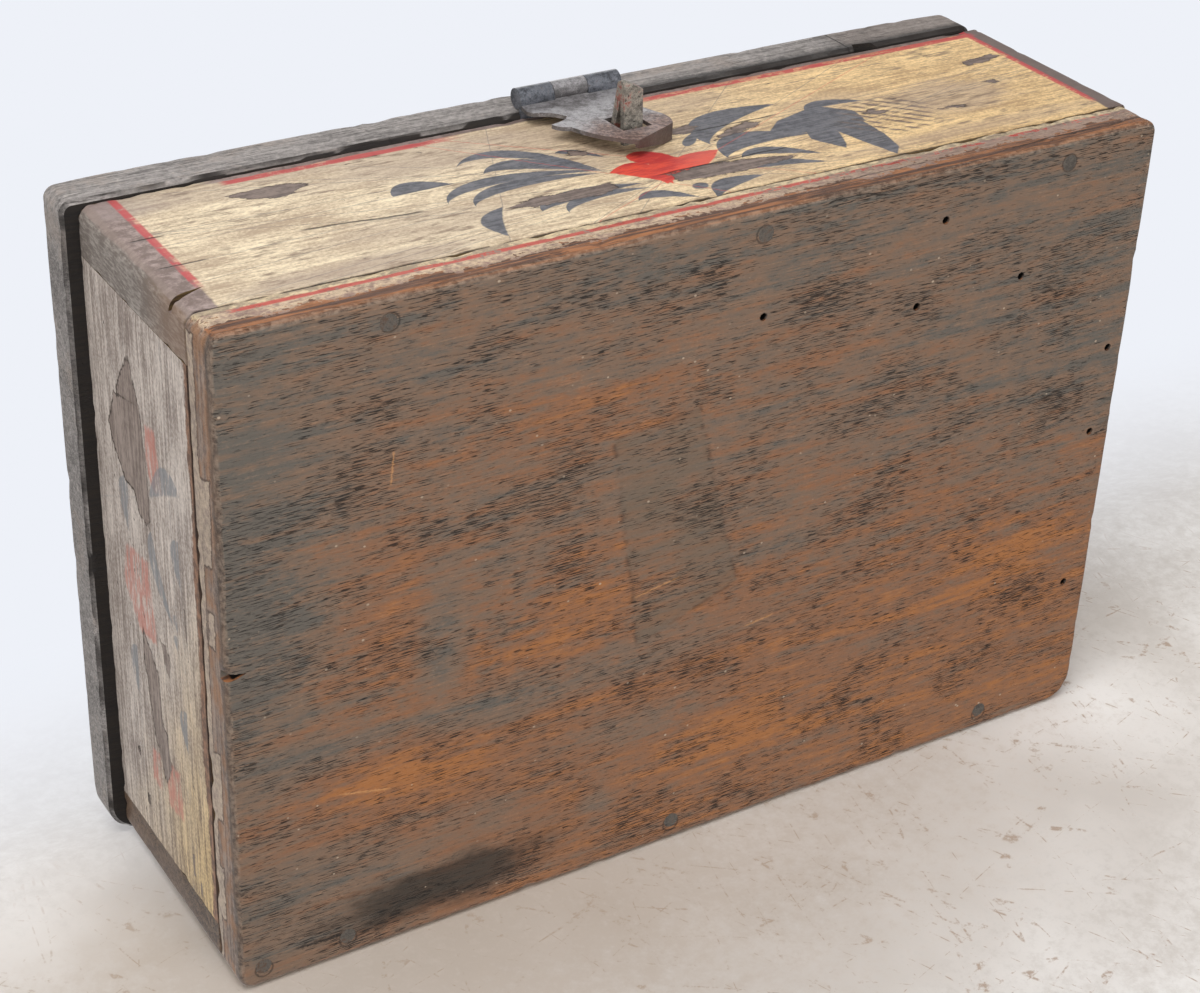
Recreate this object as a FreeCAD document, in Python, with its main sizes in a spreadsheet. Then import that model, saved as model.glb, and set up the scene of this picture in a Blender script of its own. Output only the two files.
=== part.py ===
import FreeCAD, Part
import math
import os

# A worn wooden box with a flat hinged lid, an iron hasp and a staple.
# Row frame: origin under the middle of the box, X along the length, the hasp faces -Y, the lid is on top.
# All sizes are in millimetres.

# Box and lid
box_length = 254.0
box_depth = 174.0
rim_height = 71.0
board_thick = 12.0
wall_thick = 12.0
lid_thick = 12.5
lid_left_overhang = 4.2
lid_right_shortfall = 2.4
lid_front_overhang = 1.5
lid_back_overhang = 1.5

# Wear on the wood
front_left_round = 3.0
front_right_round = 2.0
board_right_round = 3.5
back_right_round = 8.0
back_left_round = 4.0
bottom_edge_round = 1.6
seam_bevel = 0.4
lid_front_left_round = 3.0
lid_front_right_round = 4.0
lid_back_right_round = 5.0
lid_back_left_round = 9.0
lid_top_round = 1.6
lid_low_bevel = 1.0
lid_right_droop = 1.6
lid_right_droop_run = 26.0
lid_left_droop = 1.0
lid_left_droop_run = 18.0
wormhole_radius = 1.1
wormhole_depth = 5.0
wormhole_flats = 8

# Nails, hand made: square shanks and hammered heads
shank_flats = 4
head_flats = 12
nail_shank_radius = 1.2
nail_head_radius = 2.1
nail_head_thick = 0.8
nail_grip = 14.0
small_shank_radius = 0.9
small_head_radius = 1.7
small_head_thick = 0.6
small_nail_grip = 7.0

# Hinges at the back
hinge_length = 30.0
hinge_leaf_depth = 10.0
hinge_leaf_thick = 1.0
hinge_barrel_radius = 2.2
hinge_pin_radius = 1.0
hinge_axis_out = 0.3
hinge_inset = 52.0
pin_clearance = 0.05
knuckle_gap = 0.15
barrel_clearance = 0.3

# Hasp and staple
hasp_width = 28.5
hasp_knuckle = 9.5
hasp_barrel_radius = 2.5
hasp_axis_rise = 2.8
hasp_thick = 1.0
hasp_leaf_reach = 19.0
hasp_drop = 33.7
hasp_lean = 1.5
hasp_foot_gap = 0.3
slot_width = 8.0
slot_top_drop = 17.3
slot_height = 9.2
slot_shift = 2.4
staple_width = 5.2
staple_thick = 1.5
staple_reach = 15.5
staple_spread = 6.8
staple_crown = 3.2
staple_crown_depth = 4.6
staple_wear = 2.3
staple_low_drop = 25.4
staple_low_lean = 0.8
staple_clench = 7.0
staple_shift = 1.9

os.makedirs("parts", exist_ok=True)
doc = FreeCAD.newDocument("hinged_lid_box")
sheet = doc.addObject("Spreadsheet::Sheet", "sizes")


def fill_sheet(rows):
    for number, (name, value) in enumerate(rows, start=1):
        sheet.set("A%d" % number, name)
        sheet.set("B%d" % number, str(value))
        sheet.setAlias("B%d" % number, name)


# Sizes that follow from the driving ones
half_length = box_length / 2
half_depth = box_depth / 2
wall_height = rim_height - board_thick
lid_top = rim_height + lid_thick
lid_left = -half_length - lid_left_overhang
lid_right = half_length - lid_right_shortfall
lid_front = -half_depth - lid_front_overhang
lid_back = half_depth + lid_back_overhang
hinge_axis_y = half_depth + hinge_axis_out
hinge_place = half_length - hinge_inset
hasp_axis_y = lid_front - hasp_barrel_radius - barrel_clearance
hasp_axis_z = rim_height + hasp_axis_rise

fill_sheet((
    ("box_length", box_length),
    ("box_depth", box_depth),
    ("rim_height", rim_height),
    ("board_thick", board_thick),
    ("wall_thick", wall_thick),
    ("lid_thick", lid_thick),
    ("front_left_round", front_left_round),
    ("front_right_round", front_right_round),
    ("board_right_round", board_right_round),
    ("back_right_round", back_right_round),
    ("back_left_round", back_left_round),
    ("bottom_edge_round", bottom_edge_round),
    ("seam_bevel", seam_bevel),
    ("lid_front_left_round", lid_front_left_round),
    ("lid_front_right_round", lid_front_right_round),
    ("lid_back_right_round", lid_back_right_round),
    ("lid_back_left_round", lid_back_left_round),
    ("lid_top_round", lid_top_round),
    ("lid_low_bevel", lid_low_bevel),
    ("lid_front", lid_front),
    ("lid_back", lid_back),
    ("lid_top", lid_top),
    ("wormhole_radius", wormhole_radius),
    ("wormhole_depth", wormhole_depth),
    ("wormhole_flats", wormhole_flats),
    ("shank_flats", shank_flats),
    ("head_flats", head_flats),
    ("nail_shank_radius", nail_shank_radius),
    ("nail_head_radius", nail_head_radius),
    ("nail_head_thick", nail_head_thick),
    ("nail_grip", nail_grip),
    ("small_shank_radius", small_shank_radius),
    ("small_head_radius", small_head_radius),
    ("small_head_thick", small_head_thick),
    ("small_nail_grip", small_nail_grip),
    ("hinge_length", hinge_length),
    ("hinge_leaf_depth", hinge_leaf_depth),
    ("hinge_leaf_thick", hinge_leaf_thick),
    ("hinge_barrel_radius", hinge_barrel_radius),
    ("hinge_pin_radius", hinge_pin_radius),
    ("hinge_axis_y", hinge_axis_y),
    ("pin_clearance", pin_clearance),
    ("knuckle_gap", knuckle_gap),
    ("barrel_clearance", barrel_clearance),
    ("hasp_width", hasp_width),
    ("hasp_knuckle", hasp_knuckle),
    ("hasp_barrel_radius", hasp_barrel_radius),
    ("hasp_thick", hasp_thick),
    ("hasp_leaf_reach", hasp_leaf_reach),
    ("hasp_axis_y", hasp_axis_y),
    ("hasp_axis_z", hasp_axis_z),
    ("staple_width", staple_width),
    ("staple_thick", staple_thick),
    ("staple_clench", staple_clench),
))
doc.recompute()


def text_of(value):
    # A sheet name or a sum of names goes in as it is, a plain number as its digits.
    return value if isinstance(value, str) else "%.6f" % value


def plane_of(body, role):
    for feature in body.Origin.OriginFeatures:
        if getattr(feature, "Role", "") == role:
            return feature


def new_body(label):
    body = doc.addObject("PartDesign::Body", label)
    body.Label = label
    return body


def stand_at(feature, body, x, y, z):
    feature.AttachmentSupport = [(plane_of(body, "XY_Plane"), "")]
    feature.MapMode = "FlatFace"
    for letter, value in (("x", x), ("y", y), ("z", z)):
        feature.setExpression("AttachmentOffset.Base." + letter, text_of(value))


def block(body, name, low, size, cut=False):
    kind = "PartDesign::SubtractiveBox" if cut else "PartDesign::AdditiveBox"
    made = body.newObject(kind, name)
    stand_at(made, body, *low)
    for label, value in zip(("Length", "Width", "Height"), size):
        made.setExpression(label, text_of(value))
    return made


def round_bar(body, name, start, axis, radius, length, cut=False):
    # A cylinder from start along a row axis, added or cut.
    kind = "PartDesign::SubtractiveCylinder" if cut else "PartDesign::AdditiveCylinder"
    made = body.newObject(kind, name)
    turn = FreeCAD.Rotation(FreeCAD.Vector(0, 0, 1), FreeCAD.Vector(*axis))
    made.AttachmentOffset = FreeCAD.Placement(FreeCAD.Vector(0, 0, 0), turn)
    stand_at(made, body, *start)
    made.setExpression("Radius", text_of(radius))
    made.setExpression("Height", text_of(length))
    return made


def wormhole(body, name, x, y):
    # A ragged bore up into the bottom board.
    made = body.newObject("PartDesign::SubtractivePrism", name)
    stand_at(made, body, x, y, 0.0)
    made.setExpression("Polygon", "sizes.wormhole_flats")
    made.setExpression("Circumradius", "sizes.wormhole_radius")
    made.setExpression("Height", "sizes.wormhole_depth")
    return made


def fillet(body, name, radius, wanted):
    doc.recompute()
    base = body.Tip
    names = ["Edge%d" % number for number, edge in enumerate(base.Shape.Edges, start=1) if wanted(edge)]
    if not names:
        raise RuntimeError("no edge found for " + name)
    made = body.newObject("PartDesign::Fillet", name)
    made.Base = (base, names)
    made.setExpression("Radius", text_of(radius))
    return made


def bevel(body, name, size, wanted):
    doc.recompute()
    base = body.Tip
    names = ["Edge%d" % number for number, edge in enumerate(base.Shape.Edges, start=1) if wanted(edge)]
    if not names:
        raise RuntimeError("no edge found for " + name)
    made = body.newObject("PartDesign::Chamfer", name)
    made.Base = (base, names)
    made.setExpression("Size", text_of(size))
    return made


def upright_at(x, y):
    # Picks the upright edge at a corner in plan.
    def wanted(edge):
        box = edge.BoundBox
        return box.XLength < 0.01 and box.YLength < 0.01 and abs(box.XMin - x) < 0.01 and abs(box.YMin - y) < 0.01
    return wanted


def level_at(z, outside=None):
    # Picks the edges that lie wholly at one height, on the outer faces where these are given.
    def wanted(edge):
        box = edge.BoundBox
        if abs(box.ZMin - z) > 0.01 or abs(box.ZMax - z) > 0.01:
            return False
        return outside is None or outside(box)
    return wanted


def outline_sketch(body, name, role, start, steps, offset=0.0):
    # Each step is an end point, or a point on the way and an end point for an arc.
    sketch = body.newObject("Sketcher::SketchObject", name)
    sketch.AttachmentSupport = [(plane_of(body, role), "")]
    sketch.MapMode = "FlatFace"
    sketch.AttachmentOffset = FreeCAD.Placement(FreeCAD.Vector(0, 0, offset), FreeCAD.Rotation())
    here = start
    for step in steps:
        if isinstance(step[0], tuple):
            middle, there = step
            curve = Part.Arc(
                FreeCAD.Vector(here[0], here[1], 0),
                FreeCAD.Vector(middle[0], middle[1], 0),
                FreeCAD.Vector(there[0], there[1], 0))
        else:
            there = step
            curve = Part.LineSegment(
                FreeCAD.Vector(here[0], here[1], 0),
                FreeCAD.Vector(there[0], there[1], 0))
        sketch.addGeometry(curve, False)
        here = there
    closing = Part.LineSegment(
        FreeCAD.Vector(here[0], here[1], 0),
        FreeCAD.Vector(start[0], start[1], 0))
    sketch.addGeometry(closing, False)
    return sketch


def pad(body, name, sketch, length, both_ways=False):
    made = body.newObject("PartDesign::Pad", name)
    made.Profile = sketch
    made.setExpression("Length", text_of(length))
    if both_ways:
        made.SideType = "Symmetric"
    return made


def pocket(body, name, sketch, depth):
    made = body.newObject("PartDesign::Pocket", name)
    made.Profile = sketch
    made.setExpression("Length", text_of(depth))
    return made


def nail_group(label, places, axis, sizes):
    # Each nail starts at its head's outer face and runs along the axis.
    shank_radius, head_radius, head_thick, length = sizes
    turn = FreeCAD.Rotation(FreeCAD.Vector(0, 0, 1), FreeCAD.Vector(*axis))
    pieces = (
        ("head", "sizes.head_flats", head_radius, head_thick),
        ("shank", "sizes.shank_flats", shank_radius, length))
    parts = []
    for place in places:
        for word, flats, radius, height in pieces:
            rod = doc.addObject("Part::Prism", label + "_" + word)
            rod.setExpression("Polygon", flats)
            rod.setExpression("Circumradius", radius)
            rod.setExpression("Height", height)
            rod.Placement = FreeCAD.Placement(FreeCAD.Vector(*place), turn)
            parts.append(rod)
    group = doc.addObject("Part::MultiFuse", label)
    group.Shapes = parts
    group.Refine = True
    group.Label = label
    return group


def fitted(label, base, tools):
    # Cuts the seats of other pieces out of a blank, one after the other.
    here = base
    for number, tool in enumerate(tools, start=1):
        made = doc.addObject("Part::Cut", "%s_seat%d" % (label, number))
        made.Base = here
        made.Tool = tool
        here = made
    here.Label = label
    return here


big_nail = ("sizes.nail_shank_radius", "sizes.nail_head_radius", "sizes.nail_head_thick")
small_nail = ("sizes.small_shank_radius", "sizes.small_head_radius", "sizes.small_head_thick",
              "sizes.small_nail_grip + sizes.hinge_leaf_thick")


# Nails

def make_bottom_nails():
    row = half_depth - wall_thick / 2
    places = []
    for share in (-0.34, 0.037, 0.39):
        places.append((share * box_length, -row, 0))
    for share in (-0.477, -0.39, -0.027, 0.37):
        places.append((share * box_length, row, 0))
    length = "sizes.board_thick + sizes.nail_grip"
    return nail_group("bottom_nails", places, (0, 0, 1), big_nail + (length,))


def corner_places(y):
    side = half_length - 0.76 * wall_thick
    heights = (board_thick + 0.36 * wall_height, board_thick + 0.8 * wall_height)
    return [(x, y, z) for x in (-side, side) for z in heights]


def make_front_nails():
    length = "sizes.wall_thick + sizes.nail_grip"
    return nail_group("front_wall_nails", corner_places(-half_depth), (0, 1, 0), big_nail + (length,))


def make_back_nails():
    length = "sizes.wall_thick + sizes.nail_grip"
    return nail_group("back_wall_nails", corner_places(half_depth), (0, -1, 0), big_nail + (length,))


def hinge_nail_places(z):
    y = hinge_axis_y - hinge_barrel_radius - hinge_leaf_depth / 2
    return [(side * hinge_place + step * hinge_length, y, z) for side in (-1, 1) for step in (-0.3, 0.3)]


def make_hinge_wall_nails():
    return nail_group("hinge_wall_nails", hinge_nail_places(rim_height), (0, 0, -1), small_nail)


def make_hinge_lid_nails():
    return nail_group("hinge_lid_nails", hinge_nail_places(rim_height), (0, 0, 1), small_nail)


def make_hasp_lid_nails():
    y = lid_front + 0.66 * hasp_leaf_reach
    places = [(step * hasp_width, y, rim_height) for step in (-0.3, 0.3)]
    return nail_group("hasp_lid_nails", places, (0, 0, 1), small_nail)


# Bottom board and walls

def make_bottom_board(nails):
    body = new_body("bottom_board_blank")
    low = ("-sizes.box_length / 2", "-sizes.box_depth / 2", 0.0)
    block(body, "board", low, ("sizes.box_length", "sizes.box_depth", "sizes.board_thick"))
    corners = (
        ("front_left", -1, -1, "sizes.front_left_round"),
        ("front_right", 1, -1, "sizes.board_right_round"),
        ("back_right", 1, 1, "sizes.back_right_round"),
        ("back_left", -1, 1, "sizes.back_left_round"))
    for name, side_x, side_y, radius in corners:
        fillet(body, name + "_worn", radius, upright_at(side_x * half_length, side_y * half_depth))
    fillet(body, "bottom_edges_worn", "sizes.bottom_edge_round", level_at(0.0))
    bevel(body, "seam_edge", "sizes.seam_bevel", level_at(board_thick))
    worm_places = (
        (0.041, -0.343), (0.220, -0.298), (0.244, -0.422), (0.347, -0.304),
        (0.478, -0.144), (0.471, -0.003), (0.467, 0.267))
    for number, (share_x, share_y) in enumerate(worm_places, start=1):
        wormhole(body, "wormhole%d" % number, share_x * box_length, share_y * box_depth)
    # A splinter gone from the left edge
    edge = -half_length - 1
    chip = outline_sketch(body, "left_chip_shape", "XY_Plane", (edge, -4.6), (
        (edge + 6.2, -3.6),
        (edge + 3.4, -2.6),
        (edge, -2.2)))
    chipped = pocket(body, "left_chip", chip, 2.6)
    chipped.Reversed = True
    return fitted("bottom_board", body, (nails,))


def end_edges(side_y):
    # The two upright outer edges of a front or back wall and how far each is worn.
    if side_y < 0:
        return ((-1, "sizes.front_left_round"), (1, "sizes.front_right_round"))
    return ((-1, "sizes.back_left_round"), (1, "sizes.back_right_round"))


def long_wall(label, side_y):
    body = new_body(label + "_blank")
    low_y = "-sizes.box_depth / 2" if side_y < 0 else "sizes.box_depth / 2 - sizes.wall_thick"
    low = ("-sizes.box_length / 2", low_y, "sizes.board_thick")
    size = ("sizes.box_length", "sizes.wall_thick", "sizes.rim_height - sizes.board_thick")
    block(body, label + "_plank", low, size)
    face = side_y * half_depth
    for side_x, radius in end_edges(side_y):
        side_name = "left" if side_x < 0 else "right"
        fillet(body, label + "_" + side_name + "_worn", radius, upright_at(side_x * half_length, face))

    def outer(box):
        inner_face = side_y * (half_depth - wall_thick)
        return abs(box.YMin - inner_face) > 0.01 or abs(box.YMax - inner_face) > 0.01
    bevel(body, label + "_seam_edge", "sizes.seam_bevel", level_at(board_thick, outer))
    return body


def make_front_wall(nails, own_nails, staple):
    body = long_wall("front_wall", -1)
    # The split that starts at the left end, low on the wall
    left = -half_length - 1
    low = board_thick + 0.11 * wall_height
    split = outline_sketch(body, "front_split_shape", "XZ_Plane", (left, low), (
        (left + 4.5, low + 1.0),
        (left + 9.8, low + 3.5),
        (left + 5.0, low + 2.6),
        (left, low + 1.4)), offset=half_depth)
    pocket(body, "front_split", split, 3.0)
    return fitted("front_wall", body, (nails, own_nails, staple))


def hinge_seats(body, wood, lid_side):
    # A shallow seat for the leaf and a deeper one behind it for the barrel.
    for side, word in ((-1, "left"), (1, "right")):
        name = wood + "_" + word
        x = side * hinge_place - hinge_length / 2
        leaf_y = hinge_axis_y - hinge_barrel_radius - hinge_leaf_depth
        seat_z = "sizes.rim_height" if lid_side else "sizes.rim_height - sizes.hinge_leaf_thick"
        size = ("sizes.hinge_length", hinge_leaf_depth, "sizes.hinge_leaf_thick")
        block(body, name + "_leaf_seat", (x, leaf_y, seat_z), size, cut=True)
        reach = "sizes.hinge_barrel_radius + sizes.barrel_clearance"
        barrel_z = "sizes.rim_height" if lid_side else "sizes.rim_height - (%s)" % reach
        low = (x - barrel_clearance, "sizes.hinge_axis_y - (%s)" % reach, barrel_z)
        size = ("sizes.hinge_length + 2 * sizes.barrel_clearance", 12.0, reach)
        block(body, name + "_barrel_seat", low, size, cut=True)


def make_back_wall(nails, own_nails, hinge_nails):
    body = long_wall("back_wall", 1)
    hinge_seats(body, "wall", lid_side=False)
    return fitted("back_wall", body, (nails, own_nails, hinge_nails))


def make_end_wall(label, side_x, front_nails, back_nails):
    body = new_body(label + "_blank")
    low_x = "-sizes.box_length / 2" if side_x < 0 else "sizes.box_length / 2 - sizes.wall_thick"
    low = (low_x, "-sizes.box_depth / 2 + sizes.wall_thick", "sizes.board_thick")
    size = ("sizes.wall_thick", "sizes.box_depth - 2 * sizes.wall_thick", "sizes.rim_height - sizes.board_thick")
    block(body, label + "_plank", low, size)
    outer_face = side_x * half_length

    def outer(box):
        return abs(box.XMin - outer_face) < 0.01 and abs(box.XMax - outer_face) < 0.01
    bevel(body, label + "_seam_edge", "sizes.seam_bevel", level_at(board_thick, outer))
    return fitted(label, body, (front_nails, back_nails))


# Lid

def make_lid(hinge_nails, hasp_nails):
    body = new_body("lid_board_blank")
    left_turn = lid_left + lid_left_droop_run
    right_turn = lid_right - lid_right_droop_run

    def droop_point(run, droop, share):
        return lid_top - droop * share * share

    profile = outline_sketch(body, "lid_side_view", "XZ_Plane", (lid_left, rim_height), (
        (lid_right, rim_height),
        (lid_right, lid_top - lid_right_droop),
        ((lid_right - lid_right_droop_run / 2, droop_point(lid_right_droop_run, lid_right_droop, 0.5)),
         (right_turn, lid_top)),
        (left_turn, lid_top),
        ((lid_left + lid_left_droop_run / 2, droop_point(lid_left_droop_run, lid_left_droop, 0.5)),
         (lid_left, lid_top - lid_left_droop))), offset=-lid_back)
    pad(body, "lid_plank", profile, "sizes.lid_back - sizes.lid_front")
    corners = (
        ("front_left", lid_left, lid_front, "sizes.lid_front_left_round"),
        ("front_right", lid_right, lid_front, "sizes.lid_front_right_round"),
        ("back_right", lid_right, lid_back, "sizes.lid_back_right_round"),
        ("back_left", lid_left, lid_back, "sizes.lid_back_left_round"))
    for name, x, y, radius in corners:
        fillet(body, "lid_" + name + "_worn", radius, upright_at(x, y))

    def top_rim(edge):
        box = edge.BoundBox
        high = box.ZMin > rim_height + lid_thick / 2
        inside = box.XMin < right_turn + 1 and box.XMax > left_turn - 1 and box.XLength < 0.01
        return high and not inside
    fillet(body, "lid_top_worn", "sizes.lid_top_round", top_rim)

    def low_front(edge):
        box = edge.BoundBox
        level = abs(box.ZMin - rim_height) < 0.01 and abs(box.ZMax - rim_height) < 0.01
        return level and abs(box.YMin - lid_front) < 0.01 and abs(box.YMax - lid_front) < 0.01
    bevel(body, "lid_low_edges_worn", "sizes.lid_low_bevel", low_front)
    hinge_seats(body, "lid", lid_side=True)
    low = ("-sizes.hasp_width / 2", lid_front - 1, "sizes.rim_height")
    block(body, "hasp_leaf_seat", low, ("sizes.hasp_width", "sizes.hasp_leaf_reach + 1", "sizes.hasp_thick"), cut=True)
    # A splinter gone from the lower front edge, near the right end
    x = 0.335 * box_length
    z = rim_height - 1
    gap = outline_sketch(body, "lid_splinter_shape", "XZ_Plane", (x, z), (
        (x + 9.0, z),
        (x + 6.0, z + 2.2),
        (x + 1.0, z + 3.2)), offset=-lid_front)
    pocket(body, "lid_splinter", gap, 3.5)
    return fitted("lid_board", body, (hinge_nails, hasp_nails))


# Hinges at the back

def hinge_leaf(label, side, lid_side):
    body = new_body(label + "_blank")
    x = side * hinge_place - hinge_length / 2
    z = "sizes.rim_height" if lid_side else "sizes.rim_height - sizes.hinge_leaf_thick"
    leaf_y = "sizes.hinge_axis_y - sizes.hinge_barrel_radius - sizes.hinge_leaf_depth"
    plate_depth = "sizes.hinge_leaf_depth - sizes.barrel_clearance"
    block(body, label + "_plate", (x, leaf_y, z), ("sizes.hinge_length", plate_depth, "sizes.hinge_leaf_thick"))
    third = hinge_length / 3
    spans = ((1, 2),) if lid_side else ((0, 1), (2, 3))
    for number, (first, last) in enumerate(spans, start=1):
        low = x + first * third + (knuckle_gap / 2 if first else 0)
        high = x + last * third - (knuckle_gap / 2 if last < 3 else 0)
        name = "%s_knuckle%d" % (label, number)
        neck = "sizes.hinge_barrel_radius + 2 * sizes.barrel_clearance"
        neck_y = "sizes.hinge_axis_y - sizes.hinge_barrel_radius - 2 * sizes.barrel_clearance"
        block(body, name + "_neck", (low, neck_y, z), (high - low, neck, "sizes.hinge_leaf_thick"))
        start = (low, "sizes.hinge_axis_y", "sizes.rim_height")
        round_bar(body, name, start, (1, 0, 0), "sizes.hinge_barrel_radius", high - low)
    bore = "sizes.hinge_pin_radius + sizes.pin_clearance"
    start = (x - 1, "sizes.hinge_axis_y", "sizes.rim_height")
    round_bar(body, label + "_bore", start, (1, 0, 0), bore, "sizes.hinge_length + 2", cut=True)
    return body


def make_hinge(word, side, wall_nails, lid_nails):
    wall_leaf = fitted(word + "_hinge_wall_leaf", hinge_leaf(word + "_hinge_wall_leaf", side, False), (wall_nails,))
    lid_leaf = fitted(word + "_hinge_lid_leaf", hinge_leaf(word + "_hinge_lid_leaf", side, True), (lid_nails,))
    pin = new_body(word + "_hinge_pin")
    start = (side * hinge_place - hinge_length / 2, "sizes.hinge_axis_y", "sizes.rim_height")
    round_bar(pin, word + "_hinge_pin_rod", start, (1, 0, 0), "sizes.hinge_pin_radius", "sizes.hinge_length")
    return wall_leaf, lid_leaf, pin


# Hasp and staple

def make_hasp_leaf(nails):
    # A leaf let into the underside of the lid, rolled round the pin in front of it.
    body = new_body("hasp_lid_leaf_blank")
    left = -hasp_width / 2
    size = ("sizes.hasp_width", "sizes.lid_front + sizes.hasp_leaf_reach - sizes.hasp_axis_y", "sizes.hasp_thick")
    block(body, "hasp_leaf", (left, "sizes.hasp_axis_y", "sizes.rim_height"), size)
    inner = hasp_knuckle / 2 + knuckle_gap / 2
    for word, low, high in (("left", left, -inner), ("right", inner, -left)):
        start = (low, "sizes.hasp_axis_y", "sizes.hasp_axis_z")
        round_bar(body, "hasp_" + word + "_knuckle", start, (1, 0, 0), "sizes.hasp_barrel_radius", high - low)
    reach = hasp_barrel_radius + barrel_clearance
    low = (-inner, hasp_axis_y - reach, hasp_axis_z - reach - 1)
    block(body, "hasp_window", low, (2 * inner, reach * 2, reach * 2 + 1), cut=True)
    start = (left - 1, "sizes.hasp_axis_y", "sizes.hasp_axis_z")
    bore = "sizes.hinge_pin_radius + sizes.pin_clearance"
    round_bar(body, "hasp_leaf_bore", start, (1, 0, 0), bore, "sizes.hasp_width + 2", cut=True)
    return fitted("hasp_lid_leaf", body, (nails,))


def hasp_outline():
    # Seen from the front, measured from the middle of the barrel and from the rim.
    half = hasp_width / 2
    neck = hasp_knuckle / 2 - knuckle_gap / 2
    shoulder = hasp_axis_rise - hasp_barrel_radius - 0.4
    drop = hasp_drop
    start = (-neck, hasp_axis_rise)
    steps = (
        (-neck, shoulder),
        (-half, shoulder),
        (-1.05 * half, -0.12 * drop),
        (-1.0 * half, -0.17 * drop),
        ((-0.72 * half, -0.235 * drop), (-0.58 * half, -0.34 * drop)),
        (-0.66 * half, -0.385 * drop),
        ((-0.84 * half, -0.415 * drop), (-1.0 * half, -0.43 * drop)),
        ((-0.93 * half, -0.50 * drop), (-0.78 * half, -0.54 * drop)),
        ((-0.55 * half, -0.78 * drop), (-0.13 * half, -1.0 * drop)),
        (0.8 * half, -0.82 * drop),
        ((0.90 * half, -0.70 * drop), (0.85 * half, -0.57 * drop)),
        (0.76 * half, -0.43 * drop),
        ((0.70 * half, -0.30 * drop), (1.0 * half, -0.17 * drop)),
        (half, shoulder),
        (neck, shoulder),
        (neck, hasp_axis_rise))
    return [(x, rim_height + z) for x, z in [start]] + [
        tuple((x, rim_height + z) for x, z in step) if isinstance(step[0], tuple)
        else (step[0], rim_height + step[1])
        for step in steps]


def make_hasp():
    body = new_body("hasp_plate")
    outline = hasp_outline()
    shape = outline_sketch(body, "hasp_shape", "XZ_Plane", outline[0], outline[1:])
    # The plate leaves the barrel on the wall's side and leans out towards its tip
    lean = math.asin(hasp_lean / hasp_drop)
    tip_z = rim_height - hasp_drop
    place = FreeCAD.Vector(0, tip_z * (1 - math.cos(lean)), -hasp_axis_y + tip_z * math.sin(lean))
    turn = FreeCAD.Rotation(FreeCAD.Vector(1, 0, 0), -math.degrees(lean))
    shape.AttachmentOffset = FreeCAD.Placement(place, turn)
    pad(body, "hasp_sheet", shape, "sizes.hasp_thick", both_ways=True)
    # The tip is bent back towards the wall
    half = hasp_width / 2
    low_x, low_z = -0.13 * half, rim_height - hasp_drop
    high_x, high_z = 0.8 * half, rim_height - 0.82 * hasp_drop
    run = math.hypot(high_x - low_x, high_z - low_z)
    across_x = -(high_z - low_z) / run * hasp_thick
    across_z = (high_x - low_x) / run * hasp_thick
    foot = outline_sketch(body, "hasp_foot_shape", "XZ_Plane", (low_x, low_z), (
        (high_x, high_z),
        (high_x + across_x, high_z + across_z),
        (low_x + across_x, low_z + across_z)), offset=half_depth + hasp_foot_gap)
    foot_length = -half_depth - hasp_foot_gap - hasp_axis_y
    pad(body, "hasp_foot", foot, foot_length)
    # Seen from below, the bent edge runs out to nothing at its left end
    near_wall = -half_depth
    taper = outline_sketch(body, "hasp_foot_taper_shape", "XY_Plane", (low_x - 3, near_wall), (
        (high_x - 2, near_wall),
        (low_x - 3, hasp_axis_y + 0.8 * hasp_thick)), offset=low_z - 2)
    tapered = pocket(body, "hasp_foot_taper", taper, 0.3 * hasp_drop + 2)
    tapered.Reversed = True
    reach = (-hasp_knuckle / 2 + knuckle_gap / 2, "sizes.hasp_axis_y", "sizes.hasp_axis_z")
    length = "sizes.hasp_knuckle - sizes.knuckle_gap"
    round_bar(body, "hasp_middle_knuckle", reach, (1, 0, 0), "sizes.hasp_barrel_radius", length)
    bore = "sizes.hinge_pin_radius + sizes.pin_clearance"
    start = (-hasp_knuckle, "sizes.hasp_axis_y", "sizes.hasp_axis_z")
    round_bar(body, "hasp_bore", start, (1, 0, 0), bore, 2 * hasp_knuckle, cut=True)
    low = (slot_shift - slot_width / 2, hasp_axis_y - 2, rim_height - slot_top_drop - slot_height)
    block(body, "hasp_slot", low, (slot_width, 4.0, slot_height), cut=True)
    return body


def make_hasp_pin():
    body = new_body("hasp_pin")
    start = ("-sizes.hasp_width / 2", "sizes.hasp_axis_y", "sizes.hasp_axis_z")
    round_bar(body, "hasp_pin_rod", start, (1, 0, 0), "sizes.hinge_pin_radius", "sizes.hasp_width")
    return body


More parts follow.
